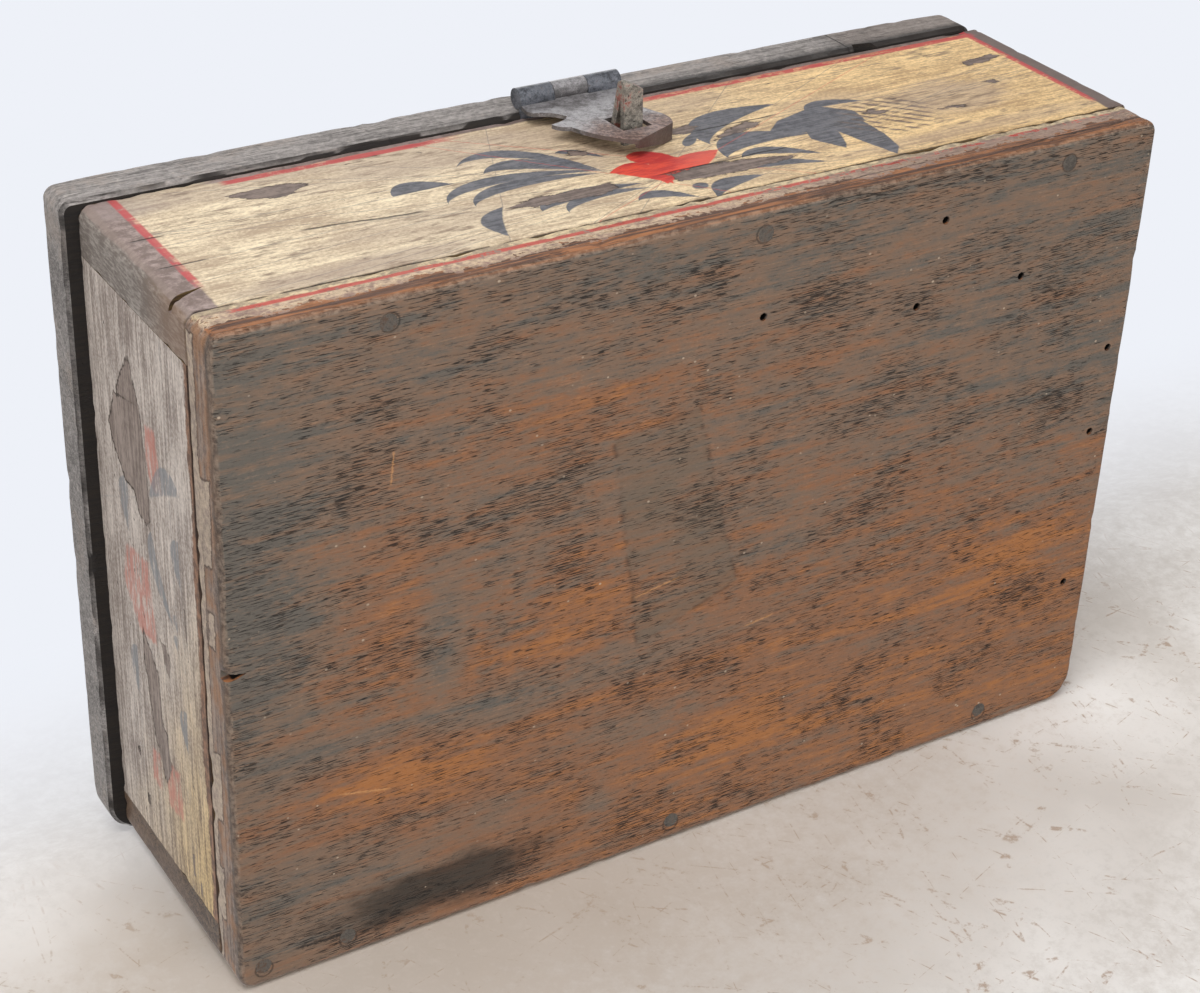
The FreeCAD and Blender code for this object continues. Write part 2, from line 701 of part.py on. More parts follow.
def make_staple():
    # A bent strap: two legs go through the front wall and are turned flat behind it.
    body = new_body("staple")
    face = -half_depth
    back = face + wall_thick + staple_thick
    low = rim_height - staple_low_drop
    high = low + staple_spread
    tip_low = low + staple_low_lean
    tip_high = tip_low + staple_crown
    crown = face - staple_reach
    turn = face - staple_reach + 0.5 * staple_crown
    eye_end = crown + staple_crown_depth
    eye_middle = (tip_low + tip_high) / 2
    steps = (
        (face, high),
        (turn, tip_high),
        ((crown, eye_middle), (turn, tip_low)),
        (face, low),
        (back, low),
        (back, low + staple_thick),
        (face, low + staple_thick),
        (eye_end, eye_middle - 0.1),
        (eye_end, eye_middle + 0.1),
        (face, high - staple_thick),
        (back, high - staple_thick))
    shape = outline_sketch(body, "staple_shape", "YZ_Plane", (back, high), steps, offset=staple_shift)
    pad(body, "staple_strap", shape, "sizes.staple_width", both_ways=True)
    x = staple_shift - staple_width / 2
    # The crown is worn down towards the right
    worn = outline_sketch(body, "staple_wear_shape", "XY_Plane", (x, crown - 1), (
        (x + staple_width + 1, crown - 1),
        (x + staple_width + 1, crown + staple_wear),
        (x + staple_width, crown + staple_wear),
        (x + 0.2 * staple_width, crown)), offset=low - 1)
    slanted = pocket(body, "staple_wear", worn, staple_spread + 2)
    slanted.Reversed = True
    inner_face = face + wall_thick
    size = ("sizes.staple_width", "sizes.staple_thick", "sizes.staple_clench")
    block(body, "staple_upper_clench", (x, inner_face, high - 0.5), size)
    block(body, "staple_lower_clench", (x, inner_face, low + 0.5 - staple_clench), size)
    return body


bottom_nails = make_bottom_nails()
front_nails = make_front_nails()
back_nails = make_back_nails()
hinge_wall_nails = make_hinge_wall_nails()
hinge_lid_nails = make_hinge_lid_nails()
hasp_lid_nails = make_hasp_lid_nails()
staple = make_staple()

nodes = [bottom_nails, front_nails, back_nails, hinge_wall_nails, hinge_lid_nails, hasp_lid_nails, staple]
nodes.append(make_bottom_board(bottom_nails))
nodes.append(make_front_wall(bottom_nails, front_nails, staple))
nodes.append(make_back_wall(bottom_nails, back_nails, hinge_wall_nails))
nodes.append(make_end_wall("left_end_wall", -1, front_nails, back_nails))
nodes.append(make_end_wall("right_end_wall", 1, front_nails, back_nails))
nodes.append(make_lid(hinge_lid_nails, hasp_lid_nails))
nodes.extend(make_hinge("left", -1, hinge_wall_nails, hinge_lid_nails))
nodes.extend(make_hinge("right", 1, hinge_wall_nails, hinge_lid_nails))
nodes.append(make_hasp_leaf(hasp_lid_nails))
nodes.append(make_hasp())
nodes.append(make_hasp_pin())

doc.recompute()

for item in doc.Objects:
    if "Invalid" in item.State or "Error" in item.State:
        raise RuntimeError("failed: " + item.Label)

for node in nodes:
    shape = node.Shape
    if shape.isNull() or not shape.isValid():
        raise RuntimeError("bad shape: " + node.Label)
    print("%-24s solids %d  volume %.1f" % (node.Label, len(shape.Solids), shape.Volume))
    shape.exportStep("parts/%s.step" % node.Label)
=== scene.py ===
import bmesh
import bpy
import math
from mathutils import Matrix, Vector, noise


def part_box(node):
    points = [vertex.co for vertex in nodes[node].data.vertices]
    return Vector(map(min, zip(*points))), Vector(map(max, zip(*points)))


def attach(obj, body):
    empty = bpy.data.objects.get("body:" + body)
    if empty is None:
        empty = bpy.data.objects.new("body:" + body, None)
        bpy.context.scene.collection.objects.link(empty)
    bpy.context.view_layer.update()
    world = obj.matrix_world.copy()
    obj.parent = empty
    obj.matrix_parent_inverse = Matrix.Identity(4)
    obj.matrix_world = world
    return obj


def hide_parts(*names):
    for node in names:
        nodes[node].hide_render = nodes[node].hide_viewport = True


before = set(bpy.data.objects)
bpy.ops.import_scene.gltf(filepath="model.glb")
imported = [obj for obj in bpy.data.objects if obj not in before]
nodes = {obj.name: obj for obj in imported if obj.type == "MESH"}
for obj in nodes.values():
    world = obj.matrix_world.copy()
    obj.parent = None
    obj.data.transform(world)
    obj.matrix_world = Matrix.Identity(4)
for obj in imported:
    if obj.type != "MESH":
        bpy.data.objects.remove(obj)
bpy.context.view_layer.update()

# A worn candle box: dark oiled bottom, painted walls with a stencilled flower, a grey lid and an iron hasp.
# Lengths inside the materials are in millimetres; the scene itself is in metres.

mm = 0.001
half_length, half_depth, board_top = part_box("bottom_board")[1] / mm
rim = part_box("front_wall")[1].z / mm
lid_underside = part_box("lid_board")[0].z / mm

# Colours are six hex digits; these two are shared
joint_black = "1e1613"
backdrop_white = "eef1f8"

# The front's red lines: how far along and how high they run
left_line = -118.8
right_line = 120.4
top_line = 68.2

# Dents along the boards' outer edges: rows cut beside each outer face, and how long a facet is
edge_rows = (1.0, 2.2, 4.0)
facet = 2.5


# Small language for material graphs

class Wire:
    """The output of a node, which can be used in sums like a number."""

    def __init__(self, graph, socket):
        self.graph = graph
        self.socket = socket

    def __add__(self, other):
        return self.graph.math("ADD", self, other)

    def __sub__(self, other):
        return self.graph.math("SUBTRACT", self, other)

    def __rsub__(self, other):
        return self.graph.math("SUBTRACT", other, self)

    def __mul__(self, other):
        return self.graph.math("MULTIPLY", self, other)

    def __neg__(self):
        return self.graph.math("MULTIPLY", self, -1.0)


class Graph:
    """One material's node tree, with a short call for each kind of node.

    Noise that several functions of a material paint with is kept on it, such as g.fine and g.cloud.
    """

    def __init__(self, name):
        self.material = bpy.data.materials.new(name)
        self.material.use_nodes = True
        self.tree = self.material.node_tree
        self.tree.nodes.clear()
        place = self.tree.nodes.new("ShaderNodeTexCoord")
        self.point = Wire(self, place.outputs["Object"])
        self.x, self.y, self.z = (part * (1 / mm) for part in self.split(self.point))
        self.nx, self.ny, self.nz = self.split(Wire(self, place.outputs["Normal"]))

    def node(self, kind, inputs=(), **settings):
        made = self.tree.nodes.new("ShaderNode" + kind)
        for name, value in settings.items():
            setattr(made, name, value)
        for key, value in inputs:
            if isinstance(value, Wire):
                self.tree.links.new(value.socket, made.inputs[key])
            else:
                made.inputs[key].default_value = value
        return made

    def math(self, operation, a, b=0.0):
        made = self.node("Math", ((0, a), (1, b)), operation=operation)
        return Wire(self, made.outputs[0])

    def scaled(self, value, factor, offset, clamp=False):
        """value times factor plus offset."""
        inputs = ((0, value), (1, factor), (2, offset))
        made = self.node("Math", inputs, operation="MULTIPLY_ADD", use_clamp=clamp)
        return Wire(self, made.outputs[0])

    def split(self, vector):
        made = self.node("SeparateXYZ", ((0, vector),))
        return tuple(Wire(self, out) for out in made.outputs)

    def spot(self, x, y, z):
        return Wire(self, self.node("CombineXYZ", ((0, x), (1, y), (2, z))).outputs[0])

    def most(self, first, *others):
        for other in others:
            first = self.math("MAXIMUM", first, other)
        return first

    def least(self, first, *others):
        for other in others:
            first = self.math("MINIMUM", first, other)
        return first

    def size_of(self, value):
        return self.math("ABSOLUTE", value)

    def step(self, value, low, high, first=0.0, last=1.0):
        """A smooth step: first below low, last above high."""
        made = self.node("MapRange", ((0, value), (1, low), (2, high), (3, first), (4, last)),
                         interpolation_type="SMOOTHSTEP")
        return Wire(self, made.outputs[0])

    def noise(self, sizes, detail=3.0, rough=0.55, shift=0.0):
        """Noise whose blobs are about this long along X, Y and Z, in millimetres. Mean 0.5."""
        scale = [1 / (mm * size) for size in sizes]
        at = self.node("Mapping", ((0, self.point), (1, (shift, shift, 0.0)), (3, scale)))
        made = self.node("TexNoise", (("Vector", Wire(self, at.outputs[0])), ("Scale", 1.0),
                                      ("Detail", detail), ("Roughness", rough)))
        return Wire(self, made.outputs[0])

    def cells(self, sizes):
        """Distance to the nearest of scattered points, in cell sizes."""
        at = self.spot(self.x * (1 / sizes[0]), self.y * (1 / sizes[1]), self.z * (1 / sizes[2]))
        made = self.node("TexVoronoi", (("Vector", at), ("Scale", 1.0)))
        return Wire(self, made.outputs["Distance"])

    def blend(self, share, first, second):
        """Mixes two colours, each a wire or six hex digits."""
        first, second = (hue(part) if isinstance(part, str) else part for part in (first, second))
        made = self.node("Mix", ((0, share), (6, first), (7, second)), data_type="RGBA")
        return Wire(self, made.outputs[2])

    def arris(self, low, high):
        """One where the normal leans between two faces, as it does on worn edges."""
        lean = self.least(self.size_of(self.nz), self.most(self.size_of(self.nx), self.size_of(self.ny)))
        return self.step(lean, low, high)

    def finish(self, colour, rough, height, depth=0.25, metallic=0.0, specular=0.35):
        """Joins colour, roughness and a height in millimetres into the surface."""
        bump = self.node("Bump", (("Strength", 1.0), ("Distance", depth * mm), ("Height", height)))
        surface = self.node("BsdfPrincipled", (
            ("Base Color", colour), ("Roughness", rough), ("Metallic", metallic),
            ("Specular IOR Level", specular), ("Normal", Wire(self, bump.outputs[0]))))
        end = self.node("OutputMaterial")
        self.tree.links.new(surface.outputs[0], end.inputs["Surface"])
        return self.material


def hue(text):
    """A colour written as six hex digits, as a shader wants it."""
    parts = [int(text[i:i + 2], 16) / 255 for i in (0, 2, 4)]
    linear = [p / 12.92 if p <= 0.04045 else ((p + 0.055) / 1.055) ** 2.4 for p in parts]
    return tuple(linear) + (1.0,)


# Shapes in a plane: across and up are wires in millimetres, and each shape gives the depth inside its edge

def past_line(g, across, up, start, run):
    """How far a point lies to the left of a line through start. run has length 1."""
    offset = start[0] * run.y - start[1] * run.x
    return g.scaled(up, run.x, g.scaled(across, -run.y, offset))


def oval(g, across, up, centre, reach):
    a = g.scaled(across, 1 / reach[0], -centre[0] / reach[0])
    b = g.scaled(up, 1 / reach[1], -centre[1] / reach[1])
    away = g.math("SQRT", g.scaled(a, a, b * b))
    return g.scaled(away, -min(reach), min(reach))


def clouds(g, across, up, spots, wander, soft=0.55):
    """Soft patches, each with a centre, a reach and a strength. The wire wander, around 0, frets them."""
    found = None
    for centre, reach, share in spots:
        depth = g.scaled(oval(g, across, up, centre, reach), 1 / min(reach), wander)
        mask = g.step(depth, -soft, soft, 0.0, share)
        found = mask if found is None else g.most(found, mask)
    return found


def stroke(g, across, up, start, end, bend, width, blunt=True):
    """A brush stroke between two tips, width wide at its fattest, that bows to its left by bend."""
    run = Vector(end) - Vector(start)
    length = run.length
    run.normalize()
    offset = -(start[0] * run.x + start[1] * run.y) / length
    along = g.scaled(up, run.y / length, g.scaled(across, run.x / length, offset), clamp=True)
    side = past_line(g, across, up, start, run)
    if blunt:
        fat = g.math("POWER", along, 0.55) * g.scaled(along, -2.75, 2.75)
    else:
        fat = along * g.scaled(along, -4.0, 4.0)
    low = g.scaled(fat, -bend, side)
    high = g.scaled(side, -1.0, fat * (bend + width))
    return g.least(low, high)


def polygon(g, across, up, points):
    """A shape with straight sides and no hollows, its corners given anticlockwise."""
    inside = None
    for here, there in zip(points, points[1:] + points[:1]):
        run = (Vector(there) - Vector(here)).normalized()
        side = past_line(g, across, up, here, run)
        inside = side if inside is None else g.least(inside, side)
    return inside


def union(g, shapes):
    """The deepest of several shapes."""
    found = None
    for shape in shapes:
        found = shape if found is None else g.most(found, shape)
    return found


def patches(g, across, up, outlines):
    """Several polygons as one shape."""
    return union(g, [polygon(g, across, up, points) for points in outlines])


def line(g, value, centre, half_width, soft=0.3):
    """One where value is within half_width of centre."""
    return g.step(g.size_of(value - centre), half_width + soft, half_width - soft)


def between(g, value, low, high, soft):
    """One between low and high, with soft ends outside them."""
    return g.step(value, low - soft, low) * g.step(value, high + soft, high)


# Wood

def lengths(along, long, wide):
    """Blob sizes that are long in the direction of the grain."""
    return {"X": (long, wide, wide), "Y": (wide, long, wide), "Z": (wide, wide, long)}[along]


def pores(g, along, length=5.0, width=0.32, share=0.6):
    """Short dark slits that run with the grain."""
    slit = g.noise(lengths(along, length, width), detail=2.0, rough=0.5)
    where = g.noise((24.0, 15.0, 24.0), detail=2.0, shift=7.3)
    return g.step(slit + (where - 0.5) * 0.5, share, share + 0.06)


def streaks(g, along, length=55.0, width=1.1, detail=4.0, shift=0.0):
    """Grain: long thin streaks, mean 0.5."""
    return g.noise(lengths(along, length, width), detail=detail, rough=0.6, shift=shift)


def plain_wood(name, along, light, dark):
    """Bare aged wood for hidden and inner faces."""
    g = Graph(name)
    grain = streaks(g, along)
    cloud = g.noise((40.0, 30.0, 30.0), detail=4.0)
    fine = g.noise((2.0, 2.0, 2.0), detail=4.0, rough=0.65)
    slit = pores(g, along)
    colour = g.blend(g.step(grain * 0.5 + cloud * 0.35 + fine * 0.15, 0.34, 0.66), dark, light)
    colour = g.blend(g.step(cloud, 0.5, 0.75) * 0.5, colour, "3f3630")
    colour = g.blend(slit * 0.7, colour, "1d1613")
    height = grain * 0.5 + fine * 0.2 - slit * 0.8
    return g.finish(colour, 0.6, height)


def inner_wood(g, grain, dark="4a382c", light="77603f"):
    """Unpainted wood inside the box."""
    return g.blend(g.step(grain, 0.35, 0.65), dark, light)


def paint_chips(g, sizes, threshold, shift):
    """Small chips of lost paint: a shape with its edge at zero."""
    blobs = g.noise(sizes, detail=4.0, rough=0.62, shift=shift)
    return (blobs - threshold + (g.cloud - 0.5) * 0.25) * 6.0


def board_front_edge(g, fine, cloud, grain):
    """Front edge of the bottom board: cream above a red line, worn mauve and bare wood below it."""
    x, z = g.x, g.z
    jag = (fine - 0.5) * 1.2 + (cloud - 0.5) * 1.0
    upper = g.blend(g.step(fine + (cloud - 0.5), 0.35, 0.7), "9c8a74", "dcc6a0")
    mauve = g.blend(g.step(fine * 0.6 + cloud * 0.4, 0.36, 0.62), "8f7468", "d8bf9f")
    right = g.step(x + (cloud - 0.5) * 60.0, -30.0, 70.0)
    mauve = g.blend(right * 0.75, mauve, "8f766b")
    under = g.blend(g.step(grain, 0.4, 0.62), "5a4135", "a36c46")
    gone = g.step(fine * 0.5 + cloud * 0.6 + g.step(z, 7.0, 1.0) * 0.3, 0.62, 0.68)
    lower = g.blend(gone, mauve, under)
    colour = g.blend(g.step(z + jag, 9.2, 9.6), lower, upper)
    red = line(g, z + jag * 0.35, 8.8, 0.85) * g.step(x + (cloud - 0.5) * 14.0, -120.0, -117.0)
    wear = g.step(fine + (cloud - 0.5) * 0.7 - right * 0.2, 0.3, 0.42)
    colour = g.blend(red * wear * 0.9, colour, "b8443c")
    dirt = g.step(cloud * 0.6 + grain * 0.5, 0.62, 0.74)
    colour = g.blend(dirt * 0.5, colour, "5a4c45")
    sway = (cloud - 0.5) * 3.0 + jag * 0.3
    cracks = g.most(
        line(g, z + sway, 5.4, 0.2, 0.15) * between(g, x, 24.0, 56.0, 6.0),
        line(g, z + sway, 3.4, 0.25, 0.2) * between(g, x, 80.0, 116.0, 5.0))
    return g.blend(cracks * 0.8, colour, "241a16")


def board_left_edge(g, fine, cloud, grain):
    """Left end of the bottom board: worn brown wood with a few pale chips of paint, outlined in painted
    shade.
    """
    y, z = g.y, g.z
    jag = (fine - 0.5) * 1.6 + (cloud - 0.5) * 1.6
    wood = g.blend(g.step(grain * 0.6 + fine * 0.4, 0.36, 0.62), "66554c", "a08c7e")
    wood = g.blend(g.step(cloud, 0.42, 0.62) * 0.7, wood, "9a6f4d")
    chips = patches(g, y, z, (
        [(20, 5), (40, 5.5), (41, 12.5), (24, 13.5)],
        [(54, 6.6), (70, 7), (71, 13.5), (57, 14)],
        [(-52, 3), (-30, 4), (-28, 9), (-50, 9)],
        [(-18, 4), (-8, 4.5), (-8, 8), (-17, 8)],
        [(-84, 8), (84, 9.5), (84, 13), (-84, 13)])) + jag
    paint = g.blend(g.step(fine, 0.3, 0.7), "97857a", "c4b09a")
    colour = g.blend(g.step(chips, -0.1, 0.2), wood, paint)
    # Painted shade along the chips' edges
    colour = g.blend(line(g, chips, 0.0, 0.25, 0.2) * 0.8, colour, "4a352b")
    return g.blend(g.step(z + (fine - 0.5) * 2.0, 3.2, 1.2) * 0.7, colour, "4b443f")


def bottom_warmth(g):
    """Runs from grey grime at 0 over brown to bare orange wood at 1."""
    x, y = g.x, g.y
    drift = g.cloud - 0.5
    warm_spots = (
        ((-40, -45), (26, 8), 0.3),
        ((-88, -10), (16, 24), 0.35),
        ((-40, 9), (26, 13), 0.42),
        ((-84, 37), (16, 10), 0.35),
        ((98, 29), (18, 9), 0.35),
        ((14, 57), (20, 8), 0.25),
        ((60, 3), (50, 10), 0.15))
    dark_spots = (
        ((-92, 68), (34, 16), 0.5),
        ((-60, 26), (58, 5), 0.6),
        ((-112, -30), (20, 30), 0.25),
        ((-74, 4), (5, 22), 0.4),
        ((-30, 67), (4, 8), 0.3),
        ((-8, 46), (50, 5), 0.25))
    front = g.step(y + drift * 50.0, -50.0, -86.0) * 0.25
    left = g.step(x + drift * 50.0, -92.0, -128.0) * 0.35
    right = g.step(x + drift * 80.0, 20.0, 100.0) * g.step(y + drift * 40.0, 12.0, -30.0) * 0.22
    low_half = g.step(y + drift * 50.0, 4.0, 34.0, 0.46, 0.84)
    warmth = low_half + clouds(g, x, y, warm_spots, g.wander, 0.8) - g.most(front, left, right)
    warmth = warmth - clouds(g, x, y, dark_spots, g.wander, 0.8)
    return warmth + (g.broad - 0.5) * 1.9 + (g.mottle - 0.5) * 1.2 + (g.grain - 0.5) * 0.6


def bottom_tones(g, warmth):
    """Grime, brown and orange wood with the grain's dark and pale figure, and one black stain."""
    colour = g.blend(g.step(warmth, -0.1, 0.42), "625b53", "7a6352")
    colour = g.blend(g.step(warmth, 0.35, 0.85), colour, "875f45")
    colour = g.blend(g.step(warmth, 0.75, 1.3), colour, "a0683c")
    figure = g.grain * 0.5 + g.fine * 0.3 + g.mottle * 0.2
    colour = g.blend(g.step(figure, 0.47, 0.33) * 0.6, colour, "2b231e")
    colour = g.blend(g.step(figure, 0.52, 0.68) * 0.35, colour, "ad8b70")
    stain = clouds(g, g.x, g.y, [((-74, 75), (27, 7), 0.8)], g.wander * 0.7, 0.45)
    return g.blend(stain, colour, "27241f")


def ghost_patch(g, colour):
    """The ghost of a square patch that was once stuck on."""
    patch = polygon(g, g.x, g.y, [(-29, -37), (-6, -40), (8, 12), (-20, 22)]) + (g.cloud - 0.5) * 3.0
    ghost = g.step(patch, -0.4, 0.6) * g.step(g.cloud + (g.mottle - 0.5) * 0.4, 0.3, 0.6)
    colour = g.blend(ghost * 0.55, colour, "665b4e")
    outline = line(g, patch, 0.0, 0.5, 0.6) * g.step(g.mottle, 0.45, 0.6)
    return g.blend(outline * 0.5, colour, "30261f")


def bottom_scratches(g, colour):
    """Pale specks and a few short scratches."""
    x, y = g.x, g.y
    shake = g.fine - 0.5
    speck = g.step(g.cells((5.2, 4.2, 4.2)), 0.085, 0.05) * g.step(g.cloud, 0.42, 0.6)
    colour = g.blend(speck * 0.8, colour, "b5a18b")
    scratches = g.most(
        line(g, y - x * 0.23 + shake, 61.0, 0.2) * between(g, x, -98, -89, 3),
        line(g, y + x * 0.16 + shake, 4.6, 0.18) * between(g, x, -20, -10, 2),
        line(g, y + x * 0.12 + shake, 28.3, 0.18) * between(g, x, 13, 19, 2),
        line(g, x + y * 0.1 + shake, -90.4, 0.18) * between(g, y, -49, -42, 1))
    return g.blend(scratches * 0.7, colour, "c9925f")


def nail_rings(g, colour):
    """Dark rings round the heads of the bottom's nails."""
    back_row, front_row = 82, -81
    heads = [(place, back_row) for place in (-121, -99, -7, 94)]
    heads += [(place, front_row) for place in (-86, 9, 99)]
    ring = union(g, [oval(g, g.x, g.y, head, (3.4, 3.4)) for head in heads])
    ring = line(g, ring + (g.fine - 0.5) * 0.6, 1.2, 0.2)
    return g.blend(ring * 0.75, colour, "1f1a17")


def bottom_edges(g, colour):
    """The bottom board's painted and worn outer edges."""
    fine = g.noise((1.6, 1.6, 1.2), detail=4.0, rough=0.65)
    cloud = g.noise((9.0, 9.0, 4.0), detail=4.0, rough=0.6)
    front_grain = streaks(g, "X", length=30.0, width=0.9, shift=4.0)
    left_grain = streaks(g, "Y", length=30.0, width=0.9, shift=4.0)
    facing_front = g.step(-g.ny, 0.45, 0.75)
    facing_left = g.step(-g.nx, 0.45, 0.75)
    colour = g.blend(facing_front, colour, board_front_edge(g, fine, cloud, front_grain))
    colour = g.blend(facing_left, colour, board_left_edge(g, fine, cloud, left_grain))
    bare = g.blend(g.step(fine, 0.38, 0.62), "55463c", "94806f")
    below_joint = g.step(g.z, board_top - 2.0, board_top - 4.0)
    return g.blend(g.arris(0.15, 0.45) * below_joint * 0.5, colour, bare)


def wormholes(g):
    """One inside the wormholes, whose walls are painted near black as shade."""
    edge = g.least(half_length - g.size_of(g.x), half_depth - g.size_of(g.y))
    return g.step(g.z, 0.25, 0.9) * g.step(edge, 1.6, 2.2) * g.step(g.z, 7.0, 6.0)


def bottom_wood():
    g = Graph("oiled_bottom")
    g.grain = streaks(g, "X", length=16.0, width=0.55)
    g.broad = streaks(g, "X", length=46.0, width=3.6, shift=2.0)
    g.cloud = g.noise((22.0, 12.0, 12.0), detail=4.0, rough=0.62, shift=3.1)
    g.mottle = g.noise((5.0, 2.4, 2.4), detail=4.0, rough=0.68)
    g.fine = g.noise((0.9, 0.6, 0.6), detail=2.0, rough=0.6)
    g.wander = (g.cloud - 0.5) * 2.4 + (g.mottle - 0.5) * 1.2 + (g.broad - 0.5) * 1.4
    slit = pores(g, "X", length=4.0, width=0.26, share=0.595)
    warmth = bottom_warmth(g)
    colour = ghost_patch(g, bottom_tones(g, warmth))
    colour = g.blend(slit * 0.85, colour, "1b1410")
    colour = bottom_scratches(g, colour)
    sloping = g.y - (g.x + 100.0) * 0.05 + (g.fine - 0.5) * 1.2
    split = line(g, sloping, 80.0, 0.3) * between(g, g.x, -111, -101, 3)
    colour = g.blend(split * 0.85, colour, "1a1411")
    colour = bottom_edges(g, nail_rings(g, colour))
    # Painted shade: the wormholes' walls near black
    colour = g.blend(wormholes(g), colour, "0b0908")
    grime = g.step(warmth, 0.4, 0.0)
    height = g.grain * 0.5 + g.fine * 0.2 - slit * 1.1 - split
    return g.finish(colour, 0.66 - grime * 0.08, height, depth=0.3, specular=0.3)


def leaf_shapes(g, across, up):
    """The stencilled leaves, each from tip to tip with its bow and width."""
    leaves = (
        ((-62.5, 44.3), (-47.0, 44.5), 0.0, 5.6),
        ((-42.2, 52.0), (-12.7, 35.6), 6.4, 4.4),
        ((-38.4, 46.0), (-12.9, 35.5), 2.4, 5.6),
        ((-53.2, 35.0), (-13.2, 36.0), 4.4, 4.2),
        ((-48.4, 31.1), (-14.0, 34.6), 3.4, 4.0),
        ((-36.4, 22.2), (-8.0, 25.4), 1.0, 4.8),
        ((-31.3, 18.8), (-7.6, 22.4), 2.4, 3.4),
        ((-14.2, 17.2), (-0.5, 12.9), 1.4, 3.8),
        ((-17.8, 49.0), (-8.2, 42.2), 0.4, 2.6),
        ((4.2, 11.6), (20.0, 16.8), 0.6, 5.0),
        ((17.5, 20.8), (37.6, 16.4), 0.6, 4.0),
        ((20.6, 27.0), (39.4, 20.8), 1.6, 4.2),
        ((18.7, 36.9), (46.8, 51.4), 3.0, 8.4),
        ((17.7, 28.3), (44.0, 32.0), 2.6, 8.0),
        ((12.4, 39.0), (19.6, 45.6), -1.6, 3.0),
        ((51.0, 44.0), (68.0, 43.4), 0.8, 3.8))
    # The big leaf at the right, worn to a dark mass with a long tail
    masses = (
        [(34, 36), (52, 30), (61, 33), (62, 39), (55, 46), (41, 42)],
        [(52, 24), (55.4, 12.6), (58.5, 16), (60, 24), (60, 35), (50, 33)],
        [(42, 29), (46.5, 21), (48, 23), (52, 33), (44, 35)])
    shapes = [stroke(g, across, up, *leaf) for leaf in leaves]
    shapes.append(stroke(g, across, up, (-49.4, 14.5), (-43.2, 28.4), 0.6, 5.0, blunt=False))
    shapes.append(oval(g, across, up, (3.0, 18.1), (2.0, 1.6)))
    shapes += [polygon(g, across, up, points) for points in masses]
    return union(g, shapes)


def flower_shapes(g, across, up):
    """The red flower under the hasp."""
    petals = (
        ((-12.2, 33.4), (-1.6, 22.0), 0.6, 8.0),
        ((-3.4, 40.2), (8.0, 31.0), -3.4, 7.4),
        ((4.6, 27.4), (18.2, 33.8), -2.6, 7.6))
    shapes = [stroke(g, across, up, *petal) for petal in petals]
    shapes.append(polygon(g, across, up, [(-5, 30), (-3, 22.4), (2, 25), (7, 27.5), (7.5, 33), (1, 36)]))
    return union(g, shapes)


def front_losses(g, across, up):
    """Where the front's paint has come off."""
    return patches(g, across, up, (
        [(-91, 57), (-84, 54.6), (-75, 60), (-82.5, 62.6), (-97.5, 61.8)],
        [(106.4, 50.2), (112, 50), (119.5, 52.6), (118, 55), (106.6, 54)],
        [(101.6, 40.4), (105.4, 37.4), (108, 38), (107, 40.6)],
        [(78.9, 30.6), (88.6, 28.4), (90.0, 29.8), (86.5, 31.8)],
        [(-20, 23.6), (-14, 25.2), (-14, 29.6), (-36, 29.6), (-44, 27.2), (-34, 24.6)],
        [(13.2, 45.4), (18, 44.6), (22.8, 47.6), (20, 50.4), (13.4, 49.4)],
        [(-16.5, 46), (-11, 44), (-9.6, 47.4), (-14, 49.6)],
        [(0, 21.4), (16, 20.4), (30, 21.2), (37, 22.2), (24, 26.0), (9, 28.2), (-1, 27.2)],
        [(62, 36.4), (68, 33.6), (69.6, 35.2), (66, 38.8)],
        [(20, 38.6), (34, 41), (38, 43.6), (34, 45.6), (24, 42.2)],
        [(-39, 25.8), (-36, 24.4), (-33.8, 26.0), (-36, 27.2)]))


def front_cream(g):
    """Cream paint, yellow at the right, with brown dirt that follows the grain."""
    tone = g.step(g.x + (g.cloud - 0.5) * 90.0, -60.0, 90.0)
    shade = g.step(g.cloud * 0.4 + g.grain * 0.35 + g.tiny * 0.25, 0.38, 0.62)
    colour = g.blend(shade, g.blend(tone, "ae987f", "ab8c66"), g.blend(tone, "f3e1c0", "f5d39b"))
    tired_spots = (
        ((-86, 15.5), (28, 3.6), 0.8),
        ((-36, 60), (40, 8), 0.7),
        ((90, 36), (16, 10), 0.75),
        ((60, 46), (16, 6), 0.4),
        ((-96, 66), (12, 6), 0.5),
        ((24, 62), (14, 5), 0.5),
        ((-62, 28), (26, 7), 0.45),
        ((-14, 44), (12, 8), 0.6),
        ((-70, 66), (30, 3), 0.5),
        ((80, 17), (40, 3), 0.5))
    tired = clouds(g, g.x, g.z, tired_spots, (g.cloud - 0.5) * 2.0 + (g.dabs - 0.5), 0.5)
    colour = g.blend(tired * 0.8, colour, "a08c7e")
    dirt = g.step(g.dabs * 0.55 + g.grain * 0.25 + g.cloud * 0.35, 0.58, 0.72)
    colour = g.blend(dirt * 0.85, colour, "7d6856")
    dots = g.step(g.tiny * 0.5 + g.fine * 0.5, 0.62, 0.68)
    return g.blend(dots * 0.6, colour, "6d5c4e")


def front_ornament(g, colour):
    """Slate leaves and the red flower, rubbed through in places."""
    across = g.x + (g.fine - 0.5) * 0.9
    up = g.z + (g.fine - 0.5) * 0.7
    rub = g.step(g.dabs * 0.6 + g.tiny * 0.4, 0.64, 0.70)
    leaves = g.step(leaf_shapes(g, across, up), -0.25, 0.2)
    slate = g.blend(g.step(g.fine * 0.5 + g.grain * 0.5, 0.38, 0.62), "43464f", "6a6b72")
    colour = g.blend(leaves * (1.0 - rub * 0.6) * 0.96, colour, slate)
    flower = g.step(flower_shapes(g, across, up), -0.3, 0.25)
    scarlet = g.blend(g.step(g.cloud * 0.5 + g.dabs * 0.5, 0.42, 0.60), "b3272b", "de4a36")
    scarlet = g.blend(g.step(g.x, 3.0, 14.0) * 0.5, scarlet, "c85f52")
    return g.blend(flower * (1.0 - rub * 0.4) * 0.96, colour, scarlet)


